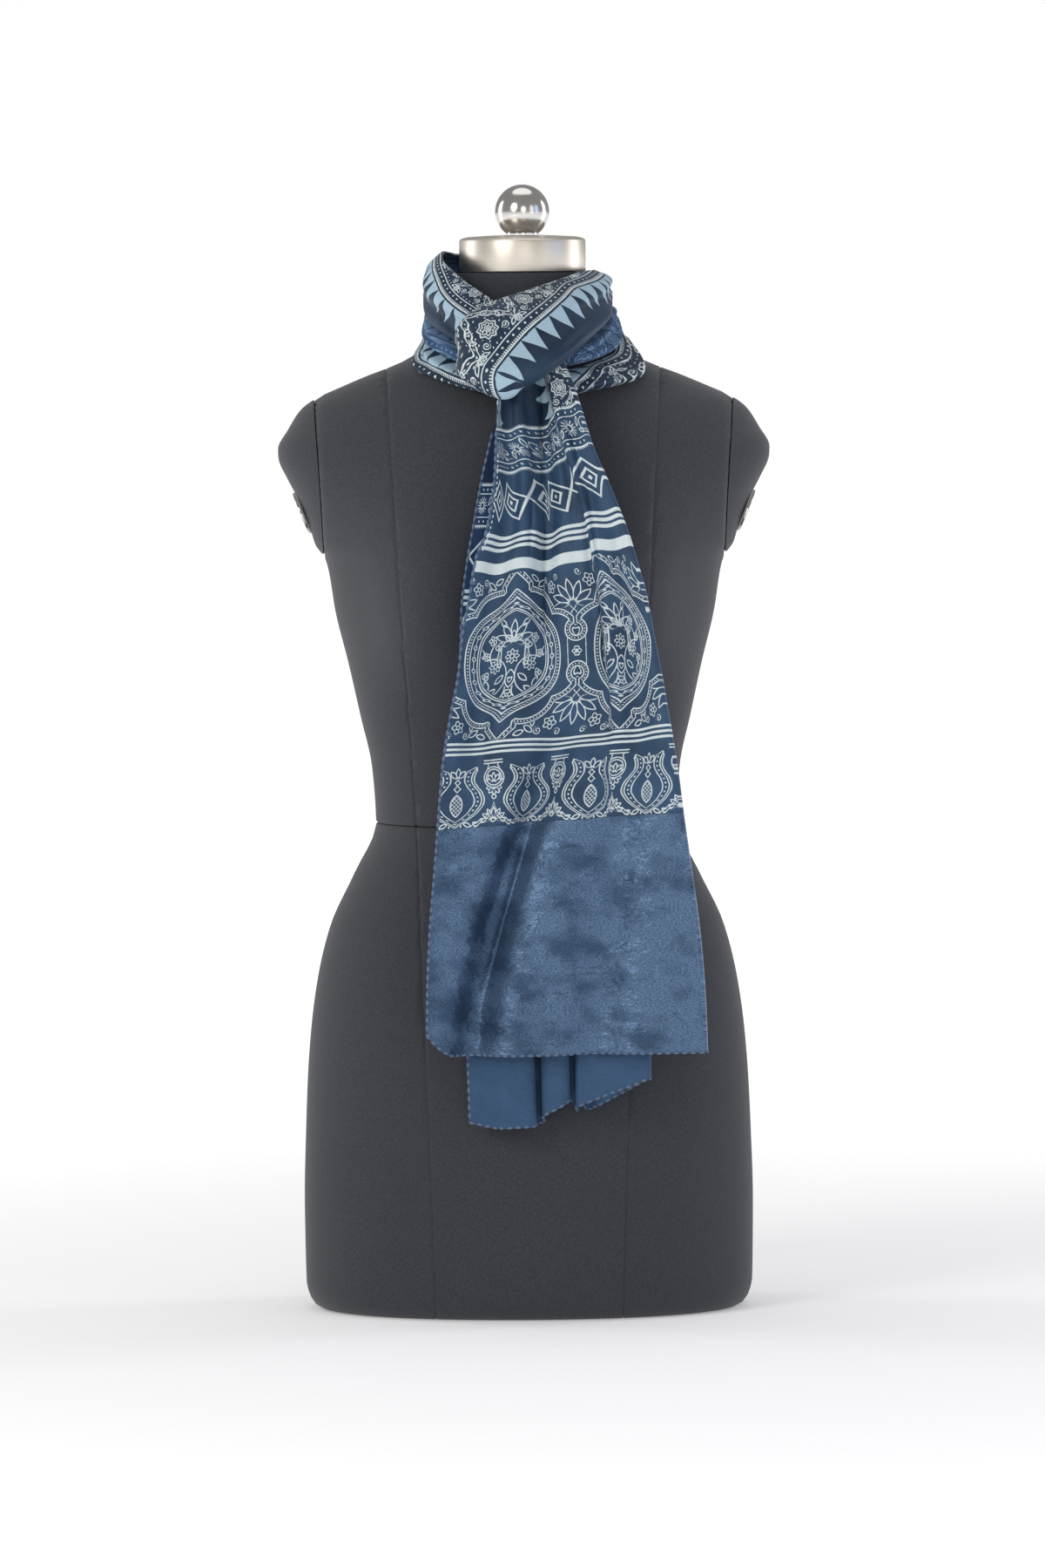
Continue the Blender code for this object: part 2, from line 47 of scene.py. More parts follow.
CAMERA_PLACE = (-0.0028, -7.0, 0.84)
CAMERA_TIP = 0.06045
CAMERA_ROLL = -0.00688
camera_data = bpy.data.cameras.new("camera")
camera_data.sensor_width = 36
camera_data.lens = 202.9
camera_data.clip_end = 60
camera = bpy.data.objects.new("camera", camera_data)
bpy.context.scene.collection.objects.link(camera)
camera.matrix_world = (
    Matrix.Translation(CAMERA_PLACE)
    @ Matrix.Rotation(math.pi / 2 - CAMERA_TIP, 4, "X")
    @ Matrix.Rotation(CAMERA_ROLL, 4, "Z")
)
bpy.context.scene.camera = camera
bpy.context.scene.view_settings.view_transform = "Standard"

# ---- The floor and the light ----
# A pale seamless floor, a large soft box in front on the left, a weaker one on the right
# and two narrow ones at the sides, which draw the edges of the dark form and of the metal.


class Value:
    """A number at one socket: arithmetic on it adds Math nodes to its own material."""

    def __init__(self, look, socket):
        self.look, self.socket = look, socket

    def maths(self, operation, *others, clamp=False):
        settings = {"operation": operation, "use_clamp": clamp}
        return self.look.node("ShaderNodeMath", settings, [self, *others])

    def reversed_maths(self, operation, other):
        return self.look.node("ShaderNodeMath", {"operation": operation}, [other, self])

    def __add__(self, other):
        return self.maths("ADD", other)

    __radd__ = __add__

    def __sub__(self, other):
        return self.maths("SUBTRACT", other)

    def __rsub__(self, other):
        return self.reversed_maths("SUBTRACT", other)

    def __mul__(self, other):
        return self.maths("MULTIPLY", other)

    __rmul__ = __mul__

    def __truediv__(self, other):
        return self.maths("DIVIDE", other)

    def __rtruediv__(self, other):
        return self.reversed_maths("DIVIDE", other)

    def __neg__(self):
        return self.maths("MULTIPLY", -1)

    def __abs__(self):
        return self.maths("ABSOLUTE")

    def sine(self):
        return self.maths("SINE")

    def cosine(self):
        return self.maths("COSINE")

    def as_share(self):
        """Kept between 0 and 1."""
        return self.maths("ADD", 0, clamp=True)

    def repeat(self, period):
        """Its distance from the nearest multiple of a period, with the sign kept."""
        return self.maths("WRAP", period / 2, -period / 2)

    def curve(self, points, longest, highest):
        """The value read from a curve through a table's points, which start at 0."""
        stops = [(x / longest, y / highest) for x, y in points]
        read = self.look.node("ShaderNodeFloatCurve", {"curve": stops}, {"Value": self / longest})
        return read * highest


class Look:
    """A material with one Principled shader."""

    def __init__(self, name, colour, roughness, metallic=0.0, **fixed):
        self.material = bpy.data.materials.new(name)
        self.material.use_nodes = True
        self.tree = self.material.node_tree
        self.shader = self.tree.nodes["Principled BSDF"]
        self.surface(Base_Color=(*colour, 1), Roughness=roughness, Metallic=metallic, **fixed)

    def node(self, kind, settings=None, sockets=(), output=0):
        made = self.tree.nodes.new(kind)
        for key, value in (settings or {}).items():
            if key == "curve":
                line = made.mapping.curves[0]
                for x, y in value[1:-1]:
                    line.points.new(x, y)
                line.points[0].location, line.points[-1].location = value[0], value[-1]
                made.mapping.update()
            else:
                setattr(made, key, value)
        pairs = sockets.items() if isinstance(sockets, dict) else enumerate(sockets)
        for key, value in pairs:
            self.join(made.inputs[key], value)
        return Value(self, made.outputs[output])

    def join(self, socket, value):
        if isinstance(value, Value):
            self.tree.links.new(value.socket, socket)
        else:
            socket.default_value = value

    def surface(self, **sockets):
        for key, value in sockets.items():
            self.join(self.shader.inputs[key.replace("_", " ")], value)

    def place(self):
        return self.node("ShaderNodeTexCoord", output="Object")

    def map(self):
        return self.node("ShaderNodeUVMap", {"uv_map": "cloth"})

    def split(self, vector):
        made = self.node("ShaderNodeSeparateXYZ", sockets=[vector]).socket.node
        return [Value(self, made.outputs[k]) for k in range(3)]

    def at(self, *parts):
        """A place made of up to three numbers."""
        return self.node("ShaderNodeCombineXYZ", sockets=parts)

    def noise(self, where, scale, detail=2.0, rough=0.5):
        sockets = {"Vector": where, "Scale": scale, "Detail": detail, "Roughness": rough}
        return self.node("ShaderNodeTexNoise", sockets=sockets)

    def mix(self, mask, first, second):
        pair = {6: first, 7: second, 0: mask}
        pair = {k: (*v, 1) if isinstance(v, tuple) and len(v) == 3 else v for k, v in pair.items()}
        return self.node("ShaderNodeMix", {"data_type": "RGBA"}, pair, output=2)

    def bump(self, height, distance, strength=1.0):
        sockets = {"Height": height, "Distance": distance, "Strength": strength}
        self.surface(Normal=self.node("ShaderNodeBump", sockets=sockets))


FLOOR_TONE = (0.86, 0.86, 0.87)
GLOW_FROM = 0.35  # metres from the form, where the floor's painted glow starts to grow
GLOW_OVER = 2.6
GLOW_NEAR = 0.25
GLOW = 0.80
bpy.ops.object.select_all(action="DESELECT")
bpy.ops.mesh.primitive_circle_add(vertices=96, radius=30, fill_type="NGON")
floor = bpy.context.object
floor.name = "floor"
floor_look = Look("pale floor", FLOOR_TONE, 0.9, Specular_IOR_Level=0.1)
speckle = floor_look.noise(floor_look.place(), 40, 3)
floor_look.surface(Base_Color=floor_look.mix(speckle, (0.85, 0.85, 0.86), (0.87, 0.87, 0.88)))
# Painted light: the floor glows, weakly near the form and more strongly away from it, so that the far floor
# reads white while a soft shadow stays near the form.
floor_x, floor_y, _ = floor_look.split(floor_look.place())
far = (floor_x * floor_x + floor_y * floor_y).maths("SQRT")
share = ((far - GLOW_FROM) / GLOW_OVER).as_share()
glow = share * share * (3 - 2 * share) * (GLOW - GLOW_NEAR) + GLOW_NEAR
floor_look.surface(Emission_Strength=1.0, Emission_Color=floor_look.mix(glow, (0, 0, 0), (1, 1, 1)))
floor.data.materials.append(floor_look.material)


def soft_box(name, place, size, power, target=(0, 0, 0.5), colour=(1, 1, 1)):
    data = bpy.data.lights.new(name, "AREA")
    data.shape = "ELLIPSE"
    data.color = colour
    data.size, data.size_y = size
    data.energy = power
    lamp = bpy.data.objects.new(name, data)
    bpy.context.scene.collection.objects.link(lamp)
    away = Vector(place) - Vector(target)
    lamp.matrix_world = Matrix.Translation(place) @ away.to_track_quat("Z", "Y").to_matrix().to_4x4()


soft_box("key", (-2.5, -3.4, 2.2), (1.7, 2.6), 64, colour=(1.0, 0.985, 0.96))
soft_box("front", (0.5, -5.2, 1.7), (1.9, 2.4), 24, colour=(1.0, 0.985, 0.955))
soft_box("fill", (2.9, -3.2, 1.5), (1.4, 2.6), 10)
soft_box("cool_fill", (2.6, -1.2, 1.3), (0.8, 1.5), 5.0, colour=(0.40, 0.52, 1.0))
soft_box("left_edge", (-2.6, 0.9, 1.0), (0.9, 2.4), 20)
soft_box("right_edge", (2.6, 0.9, 1.0), (0.7, 2.4), 20)
soft_box("top", (0, 0.4, 3.4), (2.6, 2.0), 16)

world = bpy.data.worlds.new("studio")
bpy.context.scene.world = world
world.use_nodes = True
sky = world.node_tree.nodes["Background"]
sky.inputs["Color"].default_value = (1, 1, 1, 1)
seen = world.node_tree.nodes.new("ShaderNodeLightPath")
level = world.node_tree.nodes.new("ShaderNodeMapRange")
level.inputs["To Min"].default_value = 0.36
level.inputs["To Max"].default_value = 1.0
world.node_tree.links.new(seen.outputs["Is Camera Ray"], level.inputs["Value"])
world.node_tree.links.new(level.outputs["Result"], sky.inputs["Strength"])

# ---- The dress form's body ----
# A hard body padded and covered with dark grey knitted jersey, cut in panels that meet at
# a waist seam, side seams, a back seam and a princess seam on each side of the bust.

FORM = {  # sections: half width, depth in front of and behind the middle plane
    "z": (0.000, 0.030, 0.089, 0.140, 0.182, 0.223, 0.265, 0.306, 0.347, 0.387, 0.430,
          0.472, 0.513, 0.554, 0.590, 0.598, 0.607, 0.618, 0.633, 0.645, 0.658, 0.677,
          0.683, 0.699, 0.714, 0.7225, 0.730, 0.741, 0.751, 0.765, 0.785, 0.800, 0.822),
    "half": (0.176, .1777, .1784, .1770, .1753, .1722, .1663, .1559, .1366, .1194, .1221,
             .1311, .1401, .1501, .1560, .1590, .1655, .1690, .1750, .1797, .1865, .1945,
             .1947, .1863, .1766, .1655, .1490, .1230, .0970, .0750, .0575, .0530, .0520),
    "front": (0.110, 0.112, 0.114, 0.113, 0.112, 0.110, 0.106, 0.101, 0.094, 0.088, 0.089,
              0.091, 0.093, 0.094, 0.096, 0.096, 0.096, 0.096, 0.095, 0.094, 0.092, 0.090,
              0.089, 0.084, 0.075, .0680, 0.061, .0575, .0560, .0550, .0535, .0525, .0520),
    "back": (0.114, 0.116, 0.118, 0.119, 0.118, 0.115, 0.110, 0.103, 0.098, 0.094, 0.096,
             0.100, 0.104, 0.109, 0.112, 0.112, 0.112, 0.112, 0.112, 0.111, 0.110, 0.108,
             0.107, 0.101, 0.089, .0780, 0.068, .0620, .0590, .0570, .0545, .0530, .0520),
}
ROUND = 2.12  # exponent of the sections: 2 is an ellipse
BUST = {"x": 0.080, "z": 0.562, "out": 0.040, "across": 0.054, "above": 0.080, "below": 0.056}
ARMHOLE = {"z": (0.590, 0.640, 0.677, 0.7225), "x": (0.1580, 0.1600, 0.1620, 0.1655)}
SEAM = 0.0004  # half the space between two pieces that meet
WAIST_Z = 0.387
NECK_TOP = 0.822
GIRTH = 0.88  # round the body, for the jersey's map
GROOVE = 0.0009  # a sewn seam's half width, and how deep its thread pulls it
GROOVE_DEPTH = 0.0009


def smooth(xs, ys, x):
    """A curve through the values of a table, level or straight where they are."""
    xs, ys, x = np.asarray(xs, float), np.asarray(ys, float), np.asarray(x, float)
    step = np.diff(xs)
    slope = np.diff(ys) / step
    total = slope[1:] + slope[:-1]
    total = np.where(np.abs(total) > 1e-12, total, 1)
    both = slope[1:] * slope[:-1]
    inner = np.where(both > 0, 2 * both / total, 0)
    tangent = np.concatenate([slope[:1], inner, slope[-1:]])
    x = np.clip(x, xs[0], xs[-1])
    i = np.clip(np.searchsorted(xs, x, "right") - 1, 0, len(step) - 1)
    t = (x - xs[i]) / step[i]
    return (
        ys[i] * (1 + 2 * t) * (1 - t) ** 2
        + tangent[i] * step[i] * t * (1 - t) ** 2
        + ys[i + 1] * t * t * (3 - 2 * t)
        + tangent[i + 1] * step[i] * t * t * (t - 1)
    )


def form(column, z):
    return smooth(FORM["z"], FORM[column], z)


def bust(x, z):
    tall = np.where(z > BUST["z"], BUST["above"], BUST["below"])
    level = np.exp(-(((z - BUST["z"]) / tall) ** 2))
    left = np.exp(-(((x + BUST["x"]) / BUST["across"]) ** 2))
    right = np.exp(-(((x - BUST["x"]) / BUST["across"]) ** 2))
    return BUST["out"] * level * (left + right)


def form_front(x, z):
    """The form's front surface, as y."""
    across = np.clip(np.abs(x) / form("half", z), 0, 0.999)
    flat = (1 - across**ROUND) ** (1 / ROUND)
    return -form("front", z) * flat - bust(x, z) * np.clip(flat * 1.4, 0, 1)


def form_radius(angle, z):
    """The form's distance from its axis, at an angle from the front towards +X."""
    depth = np.where(np.cos(angle) > 0, form("front", z), form("back", z))
    across = np.abs(np.sin(angle) / form("half", z)) ** ROUND
    return (across + np.abs(np.cos(angle) / depth) ** ROUND) ** (-1 / ROUND)


def form_ring(z, count, inset=0.0):
    """One section of the form, counted from the back towards -X."""
    turn = np.linspace(0, 2 * math.pi, count, endpoint=False) + math.pi
    s, c = np.sin(turn), -np.cos(turn)
    half = float(form("half", z)) - inset
    depth = np.where(c < 0, float(form("front", z)), float(form("back", z))) - inset
    x = half * np.sign(s) * np.abs(s) ** (2 / ROUND)
    y = depth * np.sign(c) * np.abs(c) ** (2 / ROUND)
    ahead = np.clip(np.abs(c) ** (2 / ROUND) * 1.4, 0, 1)
    y = y - np.where(c < 0, bust(x, z) * ahead, 0)
    if ARMHOLE["z"][0] < z < ARMHOLE["z"][-1]:
        edge = float(np.interp(z, ARMHOLE["z"], ARMHOLE["x"])) - SEAM - inset
        x = np.clip(x, -edge, edge)
    return np.column_stack([x, y, np.full(count, z)])


def put(name, points, faces, look, maps=None, sharp=50):
    """A mesh piece from points and faces, with a map in metres for its weave."""
    mesh = bpy.data.meshes.new(name)
    mesh.from_pydata(np.asarray(points, float).tolist(), [], faces)
    obj = bpy.data.objects.new(name, mesh)
    bpy.context.scene.collection.objects.link(obj)
    if maps is not None:
        layer = mesh.uv_layers.new(name="cloth")
        layer.data.foreach_set("uv", np.asarray(maps, np.float32).ravel())
    mesh.materials.append(look)
    mesh.shade_smooth()
    mesh.set_sharp_from_angle(angle=math.radians(sharp))
    return obj


def belongs(piece, node=None):
    """Every piece rides on the one body. A piece that stands for a solid names its node."""
    if node:
        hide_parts(node)
    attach(piece, "root")


def face_outwards(piece):
    shape = bmesh.new()
    shape.from_mesh(piece.data)
    bmesh.ops.recalc_face_normals(shape, faces=shape.faces)
    shape.to_mesh(piece.data)
    shape.free()


def padded_body(name, rings, look):
    """A closed body through rings, mapped by its girth and height."""
    rings = np.asarray(rings)
    rows, count = rings.shape[:2]
    faces, maps = [], []
    for r in range(rows - 1):
        for c in range(count):
            d = (c + 1) % count
            faces.append((r * count + c, r * count + d, (r + 1) * count + d, (r + 1) * count + c))
            for row, column in ((r, c), (r, c + 1), (r + 1, c + 1), (r + 1, c)):
                maps.append((column / count * GIRTH, rings[row, 0, 2]))
    for row, order in ((0, -1), (rows - 1, 1)):
        cap = [row * count + c for c in range(count)][::order]
        faces.append(cap)
        maps += [tuple(rings.reshape(-1, 3)[k][:2]) for k in cap]
    body = put(name, rings.reshape(-1, 3), faces, look, maps)
    face_outwards(body)
    return body


def edit(obj):
    """Edit mode on one piece, with nothing selected."""
    bpy.ops.object.select_all(action="DESELECT")
    obj.select_set(True)
    bpy.context.view_layer.objects.active = obj
    bpy.ops.object.mode_set(mode="EDIT")
    bpy.ops.mesh.select_all(action="DESELECT")


def leave():
    bpy.ops.object.mode_set(mode="OBJECT")


def edit_faces(obj, wanted):
    """Edit mode on one piece, with the faces selected that a test picks."""
    edit(obj)
    bpy.ops.mesh.select_mode(type="FACE")
    leave()
    for face in obj.data.polygons:
        face.select = wanted(face)
    bpy.ops.object.mode_set(mode="EDIT")


def sewn_seam(obj, through, normal, keep=lambda p: True):
    """A seam where a plane meets the cover: three cuts, the middle one pulled in."""
    normal = Vector(normal).normalized()
    for offset in (-GROOVE, 0.0, GROOVE):
        edit(obj)
        bpy.ops.mesh.select_all(action="SELECT")
        bpy.ops.mesh.bisect(plane_co=Vector(through) + normal * offset, plane_no=normal)
        leave()
    for vertex in obj.data.vertices:
        inside = abs((vertex.co - Vector(through)).dot(normal)) < 1e-5
        if inside and keep(vertex.co):
            vertex.co -= vertex.normal * GROOVE_DEPTH


jersey = Look("grey jersey", (0.034, 0.036, 0.043), 0.88)
jersey.surface(Sheen_Weight=0.16, Sheen_Roughness=0.5, Specular_IOR_Level=0.3)
across, along, _ = jersey.split(jersey.map())
rows = jersey.noise(jersey.at(across * 0.30, along), 1500, 2, 0.6)
wales = jersey.noise(jersey.at(across, along * 0.25), 1300, 2, 0.6)
fuzz = jersey.noise(jersey.place(), 620, 3, 0.7)
patches = jersey.noise(jersey.place(), 7, 2)
weave = rows * 0.4 + wales * 0.3 + fuzz * 0.5
loops = (weave * 2.6 - 1.05).as_share()
tone = jersey.mix(loops, (0.0205, 0.0230, 0.0285), (0.0530, 0.0565, 0.0665))
jersey.surface(Base_Color=jersey.mix(patches * 0.35, tone, (0.034, 0.037, 0.049)))
jersey.bump(weave, 0.0004, 0.6)


def levels(low, high, step):
    return np.linspace(low, high, int(round((high - low) / step)) + 1)


ROUND_POINTS = 144
BASE_EDGE = (  # the rounded lower edge: heights, and how far in
    (0.0, 0.0165), (0.0010, 0.0110), (0.0040, 0.0058), (0.0090, 0.0026), (0.0150, 0.0008), (0.0210, 0.0),
)
WAIST_EDGE = ((0.0, 0.0012), (0.0010, 0.0002))  # the cover turns in at the waist seam, on both sides
lower_rings = [form_ring(z, ROUND_POINTS, inset) for z, inset in BASE_EDGE]
lower_rings += [form_ring(z, ROUND_POINTS) for z in levels(0.030, WAIST_Z - SEAM - 0.0030, 0.009)]
lower_rings += [form_ring(WAIST_Z - SEAM - z, ROUND_POINTS, inset) for z, inset in WAIST_EDGE[::-1]]
torso_lower = padded_body("form_skirt", lower_rings, jersey.material)
upper_rings = [form_ring(WAIST_Z + SEAM + z, ROUND_POINTS, inset) for z, inset in WAIST_EDGE]
upper_rings += [form_ring(z, ROUND_POINTS) for z in levels(WAIST_Z + 0.0040, NECK_TOP - SEAM, 0.005)]
torso_upper = padded_body("form_bodice", upper_rings, jersey.material)

PRINCESS = {"shoulder": (0.108, 0.74), "waist": (0.0865, WAIST_Z), "hem": (0.0735, 0.0)}
for obj, high, low in ((torso_upper, "shoulder", "waist"), (torso_lower, "waist", "hem")):
    (x1, z1), (x0, z0) = PRINCESS[high], PRINCESS[low]
    for side in (-1, 1):
        sewn_seam(obj, (side * x0, 0, z0), (side * (z1 - z0), 0, -(x1 - x0)))
    sewn_seam(obj, (0, 0.004, 0), (0, 1, 0), lambda p: p.z < 0.60)
    sewn_seam(obj, (0, 0, 0), (1, 0, 0), lambda p: p.y > 0)
belongs(torso_lower, "torso_lower")
belongs(torso_upper, "torso_upper")

# ---- The shoulder ends ----
# The body's rounded shoulders are covered separately, outside the armhole seam, in the
# same jersey pulled tight over the padding.

SHOULDER_FROM, SHOULDER_TO = 0.6005, 0.7215


def shoulder_end(name, side):
    rings = []
    for z in levels(SHOULDER_FROM, SHOULDER_TO, 0.003):
        edge = float(np.interp(z, ARMHOLE["z"], ARMHOLE["x"])) + SEAM
        half = max(float(form("half", z)), edge + 0.0006)
        reach = (1 - (edge / half) ** ROUND) ** (1 / ROUND)
        arc = []
        for turn in np.linspace(-1, 1, 49):
            y_share = reach * math.sin(turn * math.pi / 2)
            x = half * (1 - abs(y_share) ** ROUND) ** (1 / ROUND)
            y = y_share * float(form("front" if turn < 0 else "back", z))
            arc.append((side * max(x, edge), y, z))
        rings.append(arc)
    return padded_body(name, rings, jersey.material)


for side, where in ((-1, "left"), (1, "right")):
    belongs(shoulder_end(f"form_shoulder_{where}", side), f"shoulder_cap_{where}")

# ---- The oval plates under the shoulders ----
# Pressed plates of polished metal close the cut ends, leaning out and down. Their rims
# are rounded and their middles are dished a little.

PLATE = {  # its inner face's middle, its lean in degrees, half its oval, its thickness and its rim
    "middle": (0.1754, 0.004, 0.6325), "lean": 22.0, "half_height": 0.0175, "half_depth": 0.0240,
    "thick": 0.0018, "rim": 0.0007, "dishes": ((0.0035, 0.0005), (0.0060, 0.0003)),
}
chrome = Look("polished metal", (0.56, 0.545, 0.52), 0.12, 1.0)
smear = chrome.noise(chrome.place(), 55, 4, 0.6)
chrome.surface(Roughness=smear * 0.14 + 0.10)
chrome.surface(Base_Color=chrome.mix(smear, (0.47, 0.455, 0.43), (0.66, 0.645, 0.62)))


def finish_hard(obj, name, node, look, angle=35):
    """The place goes into the mesh, the edges are set, and the piece rides on the form."""
    bpy.ops.object.select_all(action="DESELECT")
    obj.select_set(True)
    bpy.context.view_layer.objects.active = obj
    bpy.ops.object.transform_apply(location=True, rotation=True, scale=True)
    bpy.ops.object.shade_smooth_by_angle(angle=math.radians(angle))
    obj.name = name
    obj.data.materials.clear()
    obj.data.materials.append(look.material)
    belongs(obj, node)


for side, where in ((-1, "left"), (1, "right")):
    bpy.ops.object.select_all(action="DESELECT")
    bpy.ops.mesh.primitive_cylinder_add(vertices=72, radius=1, depth=PLATE["thick"])
    plate = bpy.context.object
    plate.scale = (PLATE["half_height"], PLATE["half_depth"], 1)
    bpy.ops.object.transform_apply(location=False, rotation=False, scale=True)
    edit_faces(plate, lambda face: face.normal.z > 0.9)
    bpy.ops.mesh.bevel(offset=PLATE["rim"], segments=4, affect="EDGES")
    leave()
    edit_faces(plate, lambda face: face.normal.z > 0.999)
    for inset, dish in PLATE["dishes"]:
        bpy.ops.mesh.inset(thickness=inset)
        bpy.ops.transform.translate(value=(0, 0, -dish))
    leave()
    lean = math.radians(PLATE["lean"])
    out = Vector((math.cos(lean), 0, -math.sin(lean)))
    middle = Vector(PLATE["middle"]) + out * PLATE["thick"] / 2
    plate.rotation_euler = (0, math.pi / 2 + lean, 0)
    plate.location = middle
    bpy.ops.object.transform_apply(location=True, rotation=True, scale=True)
    if side < 0:
        plate.data.transform(Matrix.Scale(-1, 4, Vector((1, 0, 0))))
        plate.data.flip_normals()
    finish_hard(plate, f"plate_{where}", f"arm_plate_{where}", chrome)

# ---- The neck cap ----
# A spun cap of brushed steel sits on the neck, with a rolled rim round a nearly flat top.
# The brushing runs round it.

CAP_RADIUS = 0.0500
CAP_BASE = NECK_TOP + SEAM
CAP_RIM = 0.8462
CAP_TOP = 0.8515
CAP_STEPS = (  # from the rolled rim to the middle of the top: how far in, and how far up
    (0.0004, 0.0011), (0.0009, 0.0008), (0.0020, 0.0008),
    (0.0040, 0.0009), (0.0140, 0.0008), (0.0150, 0.0006),
)
CAP_EDGE = 0.0006  # rounds the lower edge and the one round the middle of the top
steel = Look("brushed steel", (0.60, 0.56, 0.50), 0.30, 1.0)
px, py, pz = steel.split(steel.place())
round_cap = steel.at(px * 0.02, py * 0.02, pz)
scratches = steel.noise(round_cap, 2600, 3, 0.65)
steel.surface(Roughness=scratches * 0.20 + 0.30)
steel.surface(Base_Color=steel.mix(scratches, (0.50, 0.460, 0.400), (0.72, 0.675, 0.60)))
steel.bump(scratches, 0.0001, 0.35)

bpy.ops.object.select_all(action="DESELECT")
cap_height = CAP_RIM - CAP_BASE
bpy.ops.mesh.primitive_cylinder_add(
    vertices=128, radius=CAP_RADIUS, depth=cap_height, location=(0, 0, CAP_BASE + cap_height / 2)
)
neck_cap = bpy.context.object
edit_faces(neck_cap, lambda face: face.normal.z > 0.9)
for inset, rise in CAP_STEPS:
    bpy.ops.mesh.inset(thickness=inset)
    bpy.ops.transform.translate(value=(0, 0, rise))
leave()
edit_faces(neck_cap, lambda face: len(face.vertices) > 4)
bpy.ops.mesh.bevel(offset=CAP_EDGE, segments=2, affect="EDGES")
leave()
finish_hard(neck_cap, "steel_cap", "neck_cap", steel, 25)

# ---- The ball ----
# A polished ball screws down on the cap with a short collar.

BALL_Z = 0.8696
BALL_RADIUS = 0.0214
COLLAR_RADIUS = 0.0134
COLLAR_TOP = 0.0024  # over the cap, where the ball is cut off
COLLAR_FLARE = 0.0005
COLLAR_WALL = 0.0010
bpy.ops.object.select_all(action="DESELECT")
bpy.ops.mesh.primitive_uv_sphere_add(
    segments=96, ring_count=48, radius=BALL_RADIUS, location=(0, 0, BALL_Z)
)
ball = bpy.context.object
bpy.ops.object.transform_apply(location=True, rotation=True, scale=True)
edit_faces(ball, lambda face: face.center.z < CAP_TOP + COLLAR_TOP)
bpy.ops.mesh.delete(type="FACE")
leave()
edit(ball)
bpy.ops.mesh.select_mode(type="EDGE")
bpy.ops.mesh.select_non_manifold()
bpy.ops.mesh.extrude_edges_move(TRANSFORM_OT_translate={"value": (0, 0, -COLLAR_FLARE)})
ring_radius = math.sqrt(BALL_RADIUS**2 - (BALL_Z - CAP_TOP - COLLAR_TOP) ** 2)
grow = COLLAR_RADIUS / ring_radius
bpy.ops.transform.resize(value=(grow, grow, 1), center_override=(0, 0, CAP_TOP))
bpy.ops.mesh.extrude_edges_move(TRANSFORM_OT_translate={"value": (0, 0, -COLLAR_WALL)})
bpy.ops.mesh.edge_face_add()
leave()
finish_hard(ball, "ball", "finial_ball", chrome, 40)

# ---- The stole's cloth ----
# A light satin, printed in white and pale blue on navy and left unlined. Each piece is one
# closed shell whose map is in metres: across the cloth from its hemmed edge, and along it
# from the hem of the end. The print is drawn in millimetres: d is under zero where ink is.

CLOTH_WIDTH = 0.480
WALL = 0.0014
LINE = 0.42  # half a printed line's width, in millimetres
MEDALLION = {"first": 47.0, "apart": 114.0, "middle": 324.5}
LYRE_ROW = {"first": 13.0, "apart": 60.0, "from": 191.0, "to": 246.0}
LYRE = ((0, 0.0), (3, 5.0), (8, 13.4), (14, 19.6), (20, 22.4), (26, 20.7), (32, 16.2), (37, 13.8),
        (42, 15.0), (46, 18.4), (50, 23.5))
OGEE = ((0, 45.5), (12, 44.3), (22, 40.6), (30, 34.6), (36, 27.0), (40, 20.0), (43, 13.8), (46, 8.4),
        (49.5, 4.0), (53, 0.0))
DOME = ((0, 1.0), (8, 2.5), (16, 6.5), (20, 9.0), (24, 11.0), (27, 15.0), (30, 22.0))
FIELD_FROM = 505.0
STRIP_APART = 165.0  # from the middle of one flowered strip to the next
TRIANGLE = {"apart": 15.0, "base": 33.5, "tall": 20.0}


class Drawing(Look):
    """One part of the print, drawn once in a node group that every material shares."""

    def __init__(self, draw):
        self.tree = bpy.data.node_groups.new(draw.__name__, "ShaderNodeTree")
        for axis in "uv":
            self.tree.interface.new_socket(axis, in_out="INPUT", socket_type="NodeSocketFloat")
        entry = self.tree.nodes.new("NodeGroupInput")
        drawn = draw(Value(self, entry.outputs[0]), Value(self, entry.outputs[1]))
        for k in range(len(drawn)):
            self.tree.interface.new_socket(f"d{k}", in_out="OUTPUT", socket_type="NodeSocketFloat")
        way_out = self.tree.nodes.new("NodeGroupOutput")
        for k, d in enumerate(drawn):
            self.join(way_out.inputs[k], d)

    def on(self, look, u, v):
        made = look.node("ShaderNodeGroup", {"node_tree": self.tree}, [u, v]).socket.node
        return [Value(look, output) for output in made.outputs]


def low(*values):
    result = values[0]
    for value in values[1:]:
        result = result.maths("MINIMUM", value)
    return result


def high(*values):
    result = values[0]
    for value in values[1:]:
        result = result.maths("MAXIMUM", value)
    return result


def span(x, y):
    return y.maths("MULTIPLY_ADD", y, x * x).maths("SQRT")


def bearing(x, y):
    return y.maths("ARCTAN2", x)


def line(d, half=LINE):
    return abs(d) - half


def between(value, start, end):
    """Under zero where a value lies between two others."""
    return abs(value - (start + end) / 2) - (end - start) / 2


def leaf(x, y, place, turn, length, width):
    """The outline of a pointed leaf."""
    c, s = math.cos(math.radians(turn)), math.sin(math.radians(turn))
    x, y = x - place[0], y - place[1]
    along, off = x * c + y * s, abs(y * c - x * s)
    radius = (width**2 + length**2) / (2 * width)
    return line(span(along, off + (radius - width)) - radius)


def flower(x, y, petals, radius, eye):
    """Round petals about a ring, drawn in outline."""
    r, a = span(x, y), bearing(x, y) * petals
    rim = line(r - a.cosine() * (0.15 * radius) - 0.85 * radius)
    spokes = abs((a / 2).cosine()) * r * (2 / petals) - 0.3
    spokes = high(spokes, eye - r, r - 0.7 * radius)
    return low(rim, spokes, line(r - eye, 0.35))


